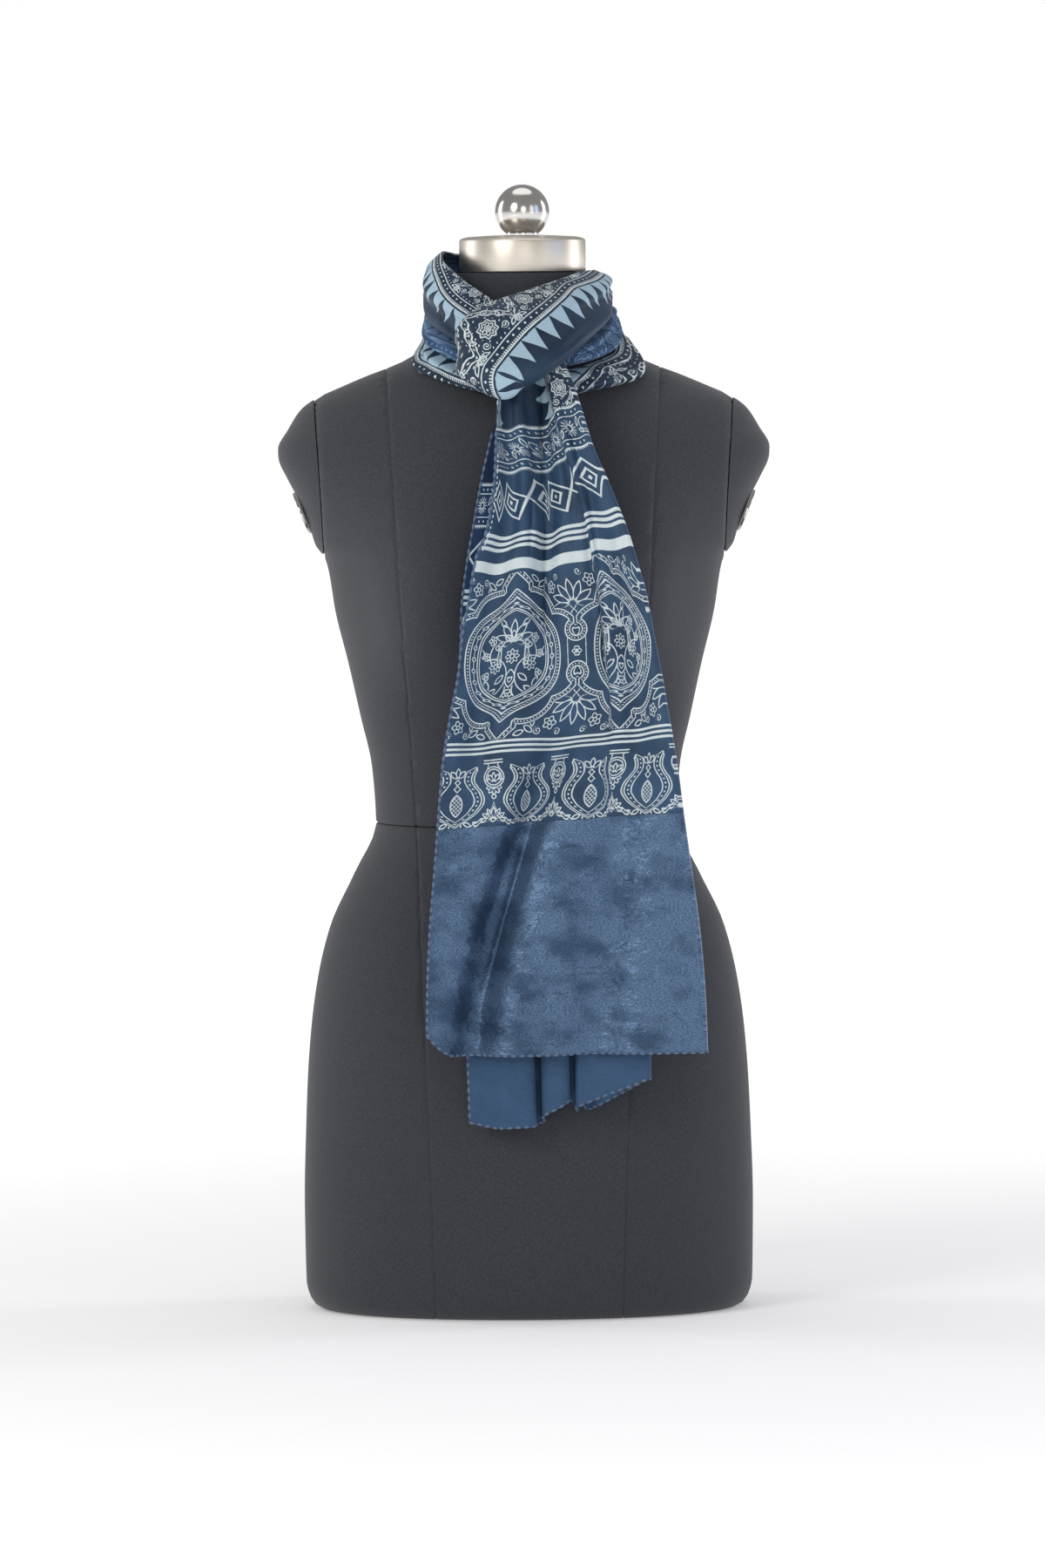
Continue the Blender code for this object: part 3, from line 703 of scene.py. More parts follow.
def fan(x, y, apart, reach, width, widest):
    """Pointed petals spread about a base, their tips a reach away."""
    r = span(x, y)
    a = bearing(y, x).repeat(math.radians(apart))
    along = r * a.cosine() - reach * 0.58
    off = abs(r * a.sine())
    length = reach * 0.42
    radius = (width**2 + length**2) / (2 * width)
    petals = line(span(along, off + (radius - width)) - radius)
    return high(petals, abs(bearing(y, x)) - math.radians(widest))


def curl(x, y, radius, pitch, hand=1):
    """A tendril wound into a small spiral."""
    r = span(x, y)
    winding = (r - bearing(x, y) * (hand * pitch / (2 * math.pi))).repeat(pitch)
    return high(line(winding, 0.36), r - radius)


def dots(across, along, pitch, radius):
    return span(across, along.repeat(pitch)) - radius


def lyre_row(u, v):
    """Lyres of two paisleys with urns between them, over a row of domed arches."""
    y = v - LYRE_ROW["from"]
    x = (u - LYRE_ROW["first"]).repeat(LYRE_ROW["apart"])
    from_urn = (u - LYRE_ROW["first"] - LYRE_ROW["apart"] / 2).repeat(LYRE_ROW["apart"])
    half = y.curve(LYRE, 50, 25)
    side = (abs(x) - half) * 0.85
    top = y - 47.5 + abs(side + 3.3) * 0.9
    arms = low(line(side), line(side + 1.9), line(side + 6.8), dots(side + 4.4, y, 3.3, 0.6))
    arms = high(low(arms, high(line(top + 0.6), abs(side + 3.4) - 3.4)), top, -1 * y)
    hatch = low(line((x + y).repeat(3.1), 0.3), line((x - y).repeat(3.1), 0.3))
    bud = span(abs(x) + 5.2, y - 17.5) - 9.9
    bud = low(line(bud), high(hatch, bud))
    links = low(line(abs(x) + abs(y - 30.5) - 2.6, 0.5), line(abs(x) + abs(y - 35.5) - 2.2, 0.5))
    crown = fan(x, y - 38, 45, 8.5, 1.7, 70)
    arch = (y + 3) - abs(x).curve(DOME, 30, 25)
    arch = arch + abs((x * 0.62).sine()) * 0.9
    arch = low(line(arch * 0.8), line(arch * 0.8 + 2.2))
    arch = high(arch, 1.2 - side)
    urn = span(from_urn, y - 38)
    bars = high(line(abs(y - 50.2) - 1.1, 0.45), abs(from_urn) - 8.3)
    neck = high(line(abs(from_urn) - 4 - abs(y - 47.5) * 0.5, 0.4), between(y, 45, 49))
    urn = low(line(urn - 8), line(urn - 6.1), fan(from_urn, y - 34, 38, 7.5, 1.4, 80), bars, neck)
    foot = fan(from_urn, 30.5 - y, 42, 6, 1.4, 90)
    ring = line(span(from_urn, y - 23) - 1.6)
    bloom = low(fan(from_urn, y - 5, 30, 9.5, 1.5, 100), line(span(from_urn, y - 5) - 1.5))
    sprig = abs(from_urn) - 13
    sprigs = leaf(sprig.repeat(7.5), y, (0, 2.2), 25, 3.2, 1.4)
    sprigs = high(sprigs, -1 - sprig, sprig - 13)
    row = low(arms, bud, links, crown, arch, urn, foot, ring, bloom, sprigs)
    return [high(row, between(v, LYRE_ROW["from"], LYRE_ROW["to"]))]


BOUQUET_FLOWERS = (  # right of and above the middle; how many petals; radius; eye
    (0, -0.5, 8, 5.6, 1.7), (15, -6, 8, 5.8, 1.7), (12.5, 9, 3, 3.6, 0.9), (19, 15.5, 5, 3.8, 1.0),
    (24, 3, 5, 3.2, 0.9), (23.5, -13, 3, 3.2, 0.9), (0, -31, 5, 4.2, 1.2),
)
BOUQUET_LEAVES = (  # right of and above the middle; its turn in degrees; half length; half width
    (10.0, -17.5, -35, 4.6, 2.0), (16.5, -27.0, -30, 4.6, 1.9), (21.5, -20.5, 60, 4.2, 1.7),
    (9.5, 27.0, 50, 4.2, 1.7), (28.0, 5.0, 80, 3.8, 1.5), (0, -18.0, 90, 7.0, 3.8),
)


def medallion_row(u, v):
    """Pointed medallions that hold a bouquet, in scalloped frames with a lotus between."""
    m = MEDALLION
    x = abs((u - m["first"]).repeat(m["apart"])) * (120 / m["apart"])
    up = v - m["middle"]
    y = abs(up)
    heights, halves = np.array(OGEE).T
    slant = 1 / np.hypot(1, np.gradient(halves, heights))
    lengths = np.concatenate([[0], np.cumsum(np.hypot(np.diff(heights), np.diff(halves)))])
    beyond = (y - OGEE[-1][0]).maths("MAXIMUM", 0)
    oval = (x - y.curve(OGEE, 53, 50)) * y.curve(list(zip(heights, slant)), 53, 1) + beyond * 0.9
    arc = y.curve(list(zip(heights, lengths)), 53, 80)
    rings = span(oval + 8.3, arc.repeat(9.2))
    oval_lines = low(
        line(oval, 0.55), line(oval + 4.3), dots(oval + 2.15, arc, 2.6, 0.6),
        high(line(oval + 8.3, 0.36), 1.5 - rings), line(rings - 1.6),
        line(oval + 12.3, 0.6), line(oval + 14.6),
    )
    lobes = low(span(x, y - 37) - 18.5, span(x - 17, y - 29) - 22.5, span(x - 37, y - 9) - 24.5)
    peak = high((x + y - 66.5) * 0.71, x - 10)
    aside = 60 - x
    drop = span(aside, y - 17)
    pendant = low(drop - 8.9, high(aside - 5, 17 - y))
    frame_edge = high(low(lobes, peak), pendant * -1)
    in_drop = high(pendant, y - 30).maths("LESS_THAN", 0)
    run = bearing(x, y) * 58
    run = run + in_drop * (bearing(aside, y - 17) * 7.7 - run)
    frame_lines = low(line(frame_edge, 0.5), line(frame_edge - 3.7), dots(frame_edge - 1.85, run, 2.6, 0.55))
    heart = line(span(aside, y - 14.5 - aside * 0.75) - 2.9)
    chain = line(aside - abs(((y - 20) * (math.pi / 6.5)).sine()) * 2.3, 0.4)
    chain = high(chain, between(y, 20, 36))
    lotus = fan(aside, y - 37, 30, 20, 2.7, 100)
    link = low(flower(aside, up, 5, 3.7, 1.0), high(line(aside - 7.5, 0.3), y - 11))
    scrolls = low(
        flower(x - 41.5, y - 55, 5, 5.2, 1.5), curl(x - 32.5, y - 61, 3.4, 2.2),
        curl(x - 49.0, y - 62, 2.8, 2.2, -1), leaf(x, y, (24.5, 59.5), 35, 4.5, 2.0),
        leaf(x, y, (17.0, 62.5), -20, 4.2, 1.9), leaf(x, y, (27.0, 54.0), 80, 3.6, 1.6),
    )
    scrolls = high(scrolls, 5 - frame_edge)
    stems = low(
        high(line(span(x - 19, up + 15) - 15.5), -up - 30, x - 24, 6 - span(x - 15, up + 6)),
        high(line(span(x - 9, up - 3) - 12), -up - 5, 7 - span(x, up - 1), up - 12),
        high(line(span(x - 12, up + 26) - 9), up + 24, x - 21),
    )
    bouquet = low(
        *[flower(x - at, up - tall, *size) for at, tall, *size in BOUQUET_FLOWERS],
        *[leaf(x, up, (at, tall), *size) for at, tall, *size in BOUQUET_LEAVES],
        fan(x, up - 11, 33, 17.5, 2.4, 80), fan(x, up - 11, 50, 9, 2.0, 110),
        line(span(x, up + 19.5 - x * 0.75) - 1.8), stems,
    )
    bouquet = high(bouquet, oval + 16.5)
    row = low(oval_lines, high(low(lotus, chain), 5 - frame_edge), frame_lines, heart, link, scrolls, bouquet)
    return [high(row, between(v, 258.5, 390.5))]


def stripes_and_diamonds(u, v):
    """Plain stripes across the end, and a row of nested diamonds."""
    across, tall = abs((u - 20).repeat(40)), abs(v - 449)
    slant = (across * 15 + tall * 20 - 300) * 0.04
    diamonds = low(line(slant, 0.95), line(slant + 6.2, 0.95), slant + 10.3)
    rows = low(
        line(abs(v - 252.5) - 4.0, 0.95), line(v - 252.5, 0.95),
        line(v - 397.7, 4.3),
        line(abs(v - 417) - 4.8, 1.35), line(v - 417, 1.35),
        high(diamonds, between(v, 428, 470)),
    )
    return [rows]


def border(u, v):
    """A band of daisies and paisleys between combed lines."""
    y = v - 488
    edge = abs(y)
    comb = low(line(edge - 15.6, 0.5), high((edge - 16) * 0.5 + abs(u.repeat(2.2)) - 0.95, 15.6 - edge))
    rows = low(comb, dots(edge - 12.3, u, 6.5, 0.85), line(edge - 9.0, 0.38))
    across = (u - 8).repeat(36)
    r, a = span(across, y), bearing(across, y)
    ticks = abs((a * 7).sine()) * r * (1 / 7) - 0.34
    daisy = low(high(ticks, between(r, 3.4, 6.8)), line(r - 2.6, 0.5))
    beside = (u - 26).repeat(36)
    paisley = low(
        curl(beside - 1.5, y - 0.5, 6.2, 3.6),
        leaf(beside, y, (-6.6, 3.8), 60, 4.0, 1.5),
        leaf(beside, y, (8.4, -3.6), 60, 3.6, 1.4),
        leaf(beside, y, (-5.2, -4.4), -40, 3.0, 1.2),
    )
    return [high(low(rows, daisy, paisley), between(v, 470, 506))]


def field(u, v):
    """Strips that run along the stole: stars in a stepped zigzag, dotted and combed lines
    and a row of triangles along each side of a plain dark band."""
    p = (u - 240).repeat(STRIP_APART)
    s = abs(p)
    triangle = s - TRIANGLE["base"]
    pointed = abs(v.repeat(TRIANGLE["apart"])) + triangle * (TRIANGLE["apart"] / 2 / TRIANGLE["tall"])
    pointed = high((pointed - TRIANGLE["apart"] / 2 + 0.3) * 0.9, triangle * -1)
    comb = low(line(s - 31.3, 0.5), high(abs(v.repeat(1.9)) - 0.48, between(s, 28.9, 31.3)))
    lines = low(line(s - 23.2), dots(s - 26.2, v, 6.2, 0.85), comb)
    swing = abs(v.repeat(40)) * (28 / 20) - 14
    step = (v * 1.15).sine() * 0.9
    zigzag = (p + swing + step) * 0.60
    zigzag_lines = low(line(abs(zigzag) - 1.9, 0.48), dots(zigzag, v, 2.6, 0.5))
    at_star, at_rose = v.repeat(40), (v - 20).repeat(40)
    r, a = span(p + 9, at_star), bearing(p + 9, at_star)
    points = r + a.maths("PINGPONG", math.pi / 8) * 4.6
    star = low(line((points - 7.4) * 0.9, 0.48), line((points - 5.2) * 0.9))
    star = low(star, flower(p + 9, at_star, 6, 2.6, 0.8))
    rose_r = span(p - 9, at_rose)
    sector = bearing(p - 9, at_rose).repeat(math.pi / 3)
    rose = span(rose_r * sector.cosine() - 3.4, rose_r * sector.sine())
    rose = low(line(rose - 1.65), line(rose_r - 1.4))
    away, far = abs(at_rose) - 9.5, abs(at_star) - 10
    curls = low(
        curl(p - 12.5, away, 3.2, 2.0), curl(p - 2.5, away - 2.5, 2.6, 1.9, -1), curl(p + 16, far, 3.0, 1.9),
        leaf(p, far, (-19, 6.0), 60, 3.4, 1.3), leaf(p, far, (-6, 3.0), 20, 2.8, 1.2),
        flower(p - 19, at_star, 5, 3.0, 0.9), flower(p + 19.5, at_rose, 5, 2.7, 0.8),
        leaf(p, away, (18.5, 4.0), 70, 3.0, 1.2),
    )
    seeds = dots((p + 1.5).repeat(4.8), v + p * 0.5, 4.4, 0.58)
    seeds = high(seeds, 3.0 - abs(zigzag), 8.4 - r, 6.2 - rose_r)
    strip = high(low(zigzag_lines, star, rose, curls, seeds), s - 22.4)
    late = FIELD_FROM + 1 - v
    return [high(low(lines, strip), late), high(pointed, late)]


def ink(d, worn):
    """How much ink lies on the cloth, its edges a little uneven."""
    return ((d + worn) * -2.6 + 0.5).as_share()


PRINT = [Drawing(draw) for draw in (lyre_row, medallion_row, stripes_and_diamonds, border)]
FIELD_PRINT = Drawing(field)


def printed(name, ground, dark, plain, painted_glint, white, pale, rough, gloss, sheen):
    """The printed satin; the plain end's colour is mottled with painted highlights and painted shade, lighter
    towards the right.
    """
    look = Look(name, ground, rough, Sheen_Weight=0.06, Sheen_Roughness=0.4, Specular_IOR_Level=gloss)
    u, v, _ = look.split(look.map())
    slub = look.noise(look.at(u * 0.45, v), 2100, 2, 0.6)
    grit = look.noise(look.at(u * 0.35, v), 1500, 3, 0.8)
    cloud = look.noise(look.map(), 26, 3, 0.55)
    mottle = look.noise(look.at(u * 0.7 + v * 0.3, v - u * 0.15), 34, 4, 0.52)
    wear = look.noise(look.map(), 260, 2, 0.6)
    worn = wear * 0.5 - 0.25
    crumple = look.noise(look.at(u * 0.75 + v * 0.35, v), 60, 2, 0.5)
    pinch = look.noise(look.at(u * 0.55 - v * 0.2, v), 170, 2, 0.5)
    crumple = crumple + abs(pinch - 0.5) * 0.45
    u, v = u * 1000, v * 1000
    rows = low(*[part.on(look, u, v)[0] for part in PRINT])
    lines, triangles = FIELD_PRINT.on(look, u, v)
    white_ink = ink(low(rows, lines), worn)
    pale_ink = ink(triangles, worn)
    is_end = ((LYRE_ROW["from"] - v) * 2 + 0.5).as_share()
    is_field = (v - FIELD_FROM).maths("GREATER_THAN", 0)
    base = look.mix(is_field, ground, dark)
    shade = look.mix((cloud * 1.7 - 0.4).as_share(), (0.55, 0.55, 0.55), (1.5, 1.5, 1.5))
    shading = {"data_type": "RGBA", "blend_type": "MULTIPLY"}
    base = look.node("ShaderNodeMix", shading, {0: 1.0, 6: base, 7: shade}, 2)
    # Painted light on the plain end: noise patches of painted highlight and painted shade, lighter towards
    # the right, under a fine speckle of painted highlights. The plain colour is the painted shade, the next
    # one the painted highlight.
    painted_light_mask = ((mottle - 0.5) * 5.4 + 0.40 + u * 0.0022).as_share()
    painted_speckle_highlight = (grit * 3.4 - 1.2).as_share()
    satin = look.mix((painted_light_mask * 0.68 + 0.32) * painted_speckle_highlight, plain, painted_glint)
    base = look.mix(is_end, base, satin)
    toned = look.mix(pale_ink, base, pale)
    toned = look.mix(white_ink, toned, look.mix(wear, tuple(0.85 * c for c in white), white))
    dull = rough + slub * 0.16 - 0.08 + white_ink * 0.08 - is_end * sheen * 0.34
    look.surface(Base_Color=toned, Roughness=dull, Metallic=is_end * sheen)
    fine = (slub + is_end * grit * 0.7) * 0.00014
    look.bump(is_end * crumple * 0.0052 + fine, 1.0, 0.6)
    return look


# In each, the fourth and fifth colours are the plain end's painted shade and painted highlight.
print_look = printed(
    "printed satin", (0.024, 0.058, 0.115), (0.0125, 0.0300, 0.060), (0.0145, 0.036, 0.078),
    (0.152, 0.245, 0.390), (0.62, 0.70, 0.72), (0.33, 0.46, 0.56), 0.52, 0.24, 0.50,
)
wrong_look = printed(
    "wrong side of the satin", (0.045, 0.095, 0.190), (0.040, 0.085, 0.170), (0.052, 0.115, 0.220),
    (0.070, 0.145, 0.270), (0.17, 0.27, 0.42), (0.13, 0.22, 0.36), 0.80, 0.15, 0.0,
)
# A copy of the print with a darker ground, as painted shade, for the end that hangs behind.
painted_shade_look = printed(
    "printed satin in painted shade", (0.017, 0.040, 0.100), (0.0105, 0.0225, 0.058), (0.038, 0.080, 0.155),
    (0.054, 0.108, 0.200), (0.58, 0.68, 0.74), (0.30, 0.43, 0.56), 0.78, 0.15, 0.0,
)


def crease(across, along, path, depth, wide):
    """One soft trough from a first place to a second, both as (across, along)."""
    a0, b0, a1, b1 = path
    run = np.array([a1 - a0, b1 - b0])
    length = np.hypot(*run)
    share = ((across - a0) * run[0] + (along - b0) * run[1]) / length**2
    off = ((across - a0) * run[1] - (along - b0) * run[0]) / length
    taper = np.clip(np.minimum(share, 1 - share) * 2.5, 0, 1)
    return depth * taper * taper * (3 - 2 * taper) * np.exp(-((off / wide) ** 2))


def cloth(name, grid, maps, wall, right, wrong):
    """A closed shell over a grid of points: rows along the cloth, columns across it. Its right
    side is the one that sees the rows go down or round to the left."""
    rows, cols = grid.shape[:2]
    normal = np.cross(np.gradient(grid, axis=0), np.gradient(grid, axis=1))
    normal /= np.linalg.norm(normal, axis=2, keepdims=True)
    half = normal * wall / 2
    points = np.concatenate([(grid + half).reshape(-1, 3), (grid - half).reshape(-1, 3)])
    back = rows * cols
    r, c = np.meshgrid(np.arange(rows - 1), np.arange(cols - 1), indexing="ij")
    corner = (r * cols + c).ravel()
    quads = np.column_stack([corner, corner + 1, corner + cols + 1, corner + cols])
    rim = list(range(cols)) + [k * cols + cols - 1 for k in range(1, rows)]
    rim += [(rows - 1) * cols + k for k in range(cols - 2, -1, -1)]
    rim += [k * cols for k in range(rows - 2, 0, -1)]
    edges = np.array([(a, b, back + b, back + a) for a, b in zip(rim, rim[1:] + rim[:1])])[:, ::-1]
    faces = np.concatenate([quads, back + quads[:, ::-1], edges])
    flat = np.concatenate([maps.reshape(-1, 2), maps.reshape(-1, 2)])
    made = put(name, points, faces.tolist(), right.material, flat[faces.ravel()], 60)
    made.data.materials.append(wrong.material)
    sides = np.zeros(len(faces), np.int32)
    sides[len(quads) : 2 * len(quads)] = 1
    made.data.polygons.foreach_set("material_index", sides)
    shape = bmesh.new()
    shape.from_mesh(made.data)
    if shape.calc_volume(signed=True) < 0:
        bmesh.ops.reverse_faces(shape, faces=shape.faces)
    shape.to_mesh(made.data)
    shape.free()
    return made


def cut_size(grid):
    """The cloth's width and length over a grid, as if it were laid flat."""
    width = np.linalg.norm(np.diff(grid, axis=1), axis=2).sum(1).mean()
    length = np.linalg.norm(np.diff(grid, axis=0), axis=2).sum(0).mean()
    return float(width), float(length)


# ---- The three stretches round the neck ----
# The folded stole goes twice round the neck, gathered into rolls that lie one above the
# other. The lowest and the highest show the print, the middle one its wrong side.

NECK = {  # going round from the front by the right side, in millimetres: heights, and how far out
    "turn": (8, 35, 60, 90, 130, 180, 230, 270, 300, 325, 346),
    "bottom": (720, 726, 735, 764, 769, 773, 771, 764, 742, 730, 724),
    "low": (743, 748, 758, 779, 785, 790, 788, 779, 761, 747, 738),
    "high": (762, 768, 779, 797, 801, 807, 806, 796, 779, 765, 755),
    "top": (790, 806, 816, 822, 824, 831, 837, 840, 829, 813, 797),
    "out_lower": (86, 94, 99, 81, 80, 80, 80, 76, 88.5, 88, 84),
    "out_mid": (83, 86, 83, 75.5, 77, 78, 79, 78.5, 85, 85, 82),
    "out_upper": (86, 84, 80, 70, 74, 78, 78, 78, 85, 87, 84),
}
STRETCH_GAP = 0.0016  # each stretch ends this far from the level it shares with the next
BODY_GAP = 0.0035  # from the body to the middle of a cloth that is laid near it
ROLL_GAP = 0.0045  # the same for a gathered roll


def arch(top, mid, bottom, across, ripple, phase):
    """Half of an oval from one edge of the cloth over its middle to the other."""
    centre = (top + bottom) / 2
    out = mid - centre
    share = np.sin(math.pi * across)[:, None]
    wave = (np.cos(2 * math.pi * 2.5 * across + phase) * np.sqrt(np.sin(math.pi * across).clip(0)))[:, None]
    shift = out / np.linalg.norm(out) * wave * ripple
    return centre + out * share + (top - bottom) / 2 * np.cos(math.pi * across)[:, None] + shift


def neck_grid(below, above, reach, start, end, rows, cols, ripple, belly=0.5, tuck=(0.024, 0.022)):
    """One stretch: an arch over the cloth at each turn round the neck, kept off the form."""
    across = np.linspace(0, 1, cols)
    grid = []
    for turn in np.linspace(start, end, rows):
        angle = math.radians(turn)
        flat = np.array([math.sin(angle), -math.cos(angle), 0.0])
        z0, z1, out = (float(smooth(NECK["turn"], NECK[k], turn)) / 1000 for k in (below, above, reach))
        z0, z1 = z0 + STRETCH_GAP, z1 - STRETCH_GAP
        points = []
        for z, r in ((z1, out - tuck[0]), (z0 + (z1 - z0) * belly, out), (z0, out - tuck[1])):
            r = max(r, float(form_radius(angle, z)) + BODY_GAP)
            points.append(flat * r + np.array([0, 0, z]))
        grid.append(arch(*points, across, ripple, 1.3 + 0.9 * math.sin(2 * angle)))
    grid = np.array(grid)
    radius = np.hypot(grid[..., 0], grid[..., 1])
    least = form_radius(np.arctan2(grid[..., 0], -grid[..., 1]), grid[..., 2]) + ROLL_GAP
    grid[..., :2] *= np.maximum(1, least / radius)[..., None]
    return grid


def printed_along(grid, path, start, drawn=1.0):
    """A map laid out from one printed line. The path gives the line's places as shares of the
    rows and of the columns, with how far across the cloth it lies, in millimetres."""
    rows, cols = grid.shape[:2]
    knots = np.arange(len(path))
    t = np.linspace(0, len(path) - 1, 30 * (len(path) - 1))
    row, col, place = (smooth(knots, [p[k] for p in path], t) for k in range(3))
    row, col = row * (rows - 1), np.clip(col, 0, 1) * (cols - 1)
    r, c = np.minimum(row.astype(int), rows - 2), np.minimum(col.astype(int), cols - 2)
    fr, fc = (row - r)[:, None], (col - c)[:, None]
    here = grid[r, c] * (1 - fc) + grid[r, c + 1] * fc
    below = grid[r + 1, c] * (1 - fc) + grid[r + 1, c + 1] * fc
    spot = here * (1 - fr) + below * fr
    side = grid[r, c + 1] - grid[r, c]
    run = np.gradient(spot, axis=0)
    arc = np.concatenate([[0], np.cumsum(np.linalg.norm(np.diff(spot, axis=0), axis=1))])
    run /= np.linalg.norm(run, axis=1, keepdims=True)
    points = grid.reshape(-1, 3)
    apart = (points**2).sum(1)[:, None] - 2 * points @ spot.T + (spot**2).sum(1)
    foot = np.argmin(apart, axis=1)
    off = points - spot[foot]
    past = (off * run[foot]).sum(1)
    beside = np.linalg.norm(off - past[:, None] * run[foot], axis=1)
    beside = np.where((off * side[foot]).sum(1) > 0, beside, -beside)
    maps = np.column_stack([place[foot] / 1000 - beside / drawn, start + (arc[foot] + past) / drawn])
    return maps.reshape(rows, cols, 2)


STRANDS = {  # the line gives shares of the rows and columns, and millimetres across the cloth
    "wrap_lower": {
        "edges": ("bottom", "low", "out_lower"), "turn": (8, 346), "size": (200, 44),
        "ripple": 0.0012, "drawn": 1.08, "from": 0.60,
        "line": ((0, 0.55, 108), (0.05, 0.42, 108), (0.095, 0.42, 108), (0.13, 0.50, 108),
                 (0.17, 0.62, 108), (0.45, 0.50, 108), (0.72, 0.25, 108), (0.85, 0.10, 108),
                 (0.885, 0.10, 108), (0.935, 0.36, 108), (0.955, 0.62, 108), (1, 0.90, 108)),
    },
    "wrap_mid": {
        "edges": ("low", "high", "out_mid"), "turn": (14, 344), "size": (200, 40),
        "ripple": 0.0010, "drawn": 1.0, "from": 0.80,
        "line": ((0, 0.30, 106), (0.085, 0.31, 106), (0.116, 0.38, 106), (0.176, 0.56, 106),
                 (0.45, 0.50, 90), (0.74, 0.40, 75), (0.81, 0.31, 75), (0.86, 0.22, 75),
                 (0.925, 0.27, 75), (0.96, 0.46, 75), (1, 0.60, 75)),
    },
    "wrap_upper": {
        "edges": ("high", "top", "out_upper"), "turn": (111.5, 344), "size": (170, 52),
        "ripple": 0.0020, "drawn": 0.88, "from": 1.00,
        "line": ((0, 0.44, 206.5), (0.065, 0.39, 206.5), (0.107, 0.36, 206.5), (0.148, 0.32, 206.5),
                 (0.207, 0.24, 206.5), (0.272, 0.21, 206.5), (0.31, 0.21, 206.5), (0.6, 0.25, 206.5),
                 (1, 0.30, 206.5)),
    },
}
STRAND_CREASES = (  # share of the rows, then of the columns, at each end; depth; half width
    (0.02, 0.45, 0.30, 0.62, 0.0022, 0.0035), (0.00, 0.72, 0.16, 0.60, 0.0016, 0.0025),
    (0.10, 0.30, 0.42, 0.35, 0.0014, 0.0030), (0.60, 0.62, 0.92, 0.45, 0.0020, 0.0035),
    (0.78, 0.30, 0.99, 0.55, 0.0016, 0.0028), (0.40, 0.55, 0.70, 0.70, 0.0018, 0.0040),
)


def pressed(grid, creases):
    """The grid with its creases pushed in towards the neck."""
    width, length = cut_size(grid)
    rows, cols = grid.shape[:2]
    down, over = np.meshgrid(np.linspace(0, length, rows), np.linspace(0, width, cols), indexing="ij")
    inward = grid * (-1, -1, 0) / np.linalg.norm(grid[..., :2], axis=2, keepdims=True)
    for r0, c0, r1, c1, depth, wide in creases:
        pull = crease(over, down, (c0 * width, r0 * length, c1 * width, r1 * length), depth, wide)
        grid = grid + inward * pull[..., None]
    return grid


for name, s in STRANDS.items():
    belly, tuck = (0.38, (0.016, 0.013)) if name == "wrap_upper" else (0.5, (0.024, 0.022))
    grid = neck_grid(*s["edges"], *s["turn"], *s["size"], s["ripple"], belly, tuck)[::-1]
    grid = pressed(grid, STRAND_CREASES)
    looks = (wrong_look, print_look) if name == "wrap_mid" else (print_look, wrong_look)
    maps = printed_along(grid, s["line"], s["from"], s["drawn"])
    strand = cloth(f"cloth_{name}", grid, maps, WALL, *looks)
    belongs(strand, name)

# ---- The band over the knot ----
# One turn of the folded stole comes from the right side of the neck over the knot and
# tucks under at the left.

BAND = {  # its two edges and its middle, in millimetres, from the right of the neck to under the knot
    "top": ((55, 20, 822.5), (56, -8, 822.5), (48, -34, 822), (33, -60, 817), (2, -86, 807),
            (-24, -96, 798.5), (-41, -100, 790), (-44, -92, 783), (-34, -85, 776)),
    "middle": ((68, 25, 814), (70, -10, 811), (67, -56, 801), (40, -106, 786), (2, -129, 770),
               (-29, -132, 763), (-51, -117, 761), (-52, -100, 758), (-36, -90, 756)),
    "bottom": ((58, 21.2, 804.5), (60, -9, 802), (59, -62, 784), (33, -118, 754), (4, -129, 734),
               (-15, -128, 724), (-39, -116, 734), (-43, -100, 738), (-33, -90, 737)),
}
BAND_SIZE = (190, 70)
BAND_LINE = ((0.00, 0.24, 206.5), (0.27, 0.261, 206.5), (0.349, 0.261, 206.5), (0.402, 0.333, 206.5),
             (0.439, 0.391, 206.5), (0.481, 0.449, 206.5), (0.524, 0.522, 206.5), (0.571, 0.609, 206.5),
             (0.598, 0.667, 206.5), (0.614, 0.754, 206.5), (0.626, 0.86, 206.5), (0.632, 1.00, 206.5))
BAND_CREASES = (
    (0.30, 0.55, 0.52, 0.80, 0.0022, 0.0040), (0.22, 0.75, 0.44, 0.92, 0.0020, 0.0035),
    (0.12, 0.40, 0.40, 0.48, 0.0012, 0.0030), (0.45, 0.62, 0.60, 0.92, 0.0016, 0.0030),
    (0.58, 0.20, 0.75, 0.55, 0.0014, 0.0035), (0.62, 0.50, 0.80, 0.80, 0.0016, 0.0030),
)


def through(points, rows):
    """Points along a smooth curve through the given ones, from millimetres to metres."""
    points = np.asarray(points, float) / 1000
    ends, t = np.arange(len(points)), np.linspace(0, len(points) - 1, rows)
    return np.column_stack([smooth(ends, points[:, k], t) for k in range(3)])


edges = zip(*(through(BAND[key], BAND_SIZE[0]) for key in ("top", "middle", "bottom")))
band_across = np.linspace(0, 1, BAND_SIZE[1])
grid = np.array([
    arch(*points, band_across, 0.0022, 0.6 + 1.3 * k / BAND_SIZE[0]) for k, points in enumerate(edges)
])
grid = pressed(grid, BAND_CREASES)
band = cloth("cloth_band", grid, printed_along(grid, BAND_LINE, 0.90, 1.08), WALL, print_look, wrong_look)
belongs(band, "front_band")

# ---- The front end ----
# The end that hangs in front is folded in two along its length, with the fold at the
# right. It is gathered under the knot and opens out downwards in soft pleats.

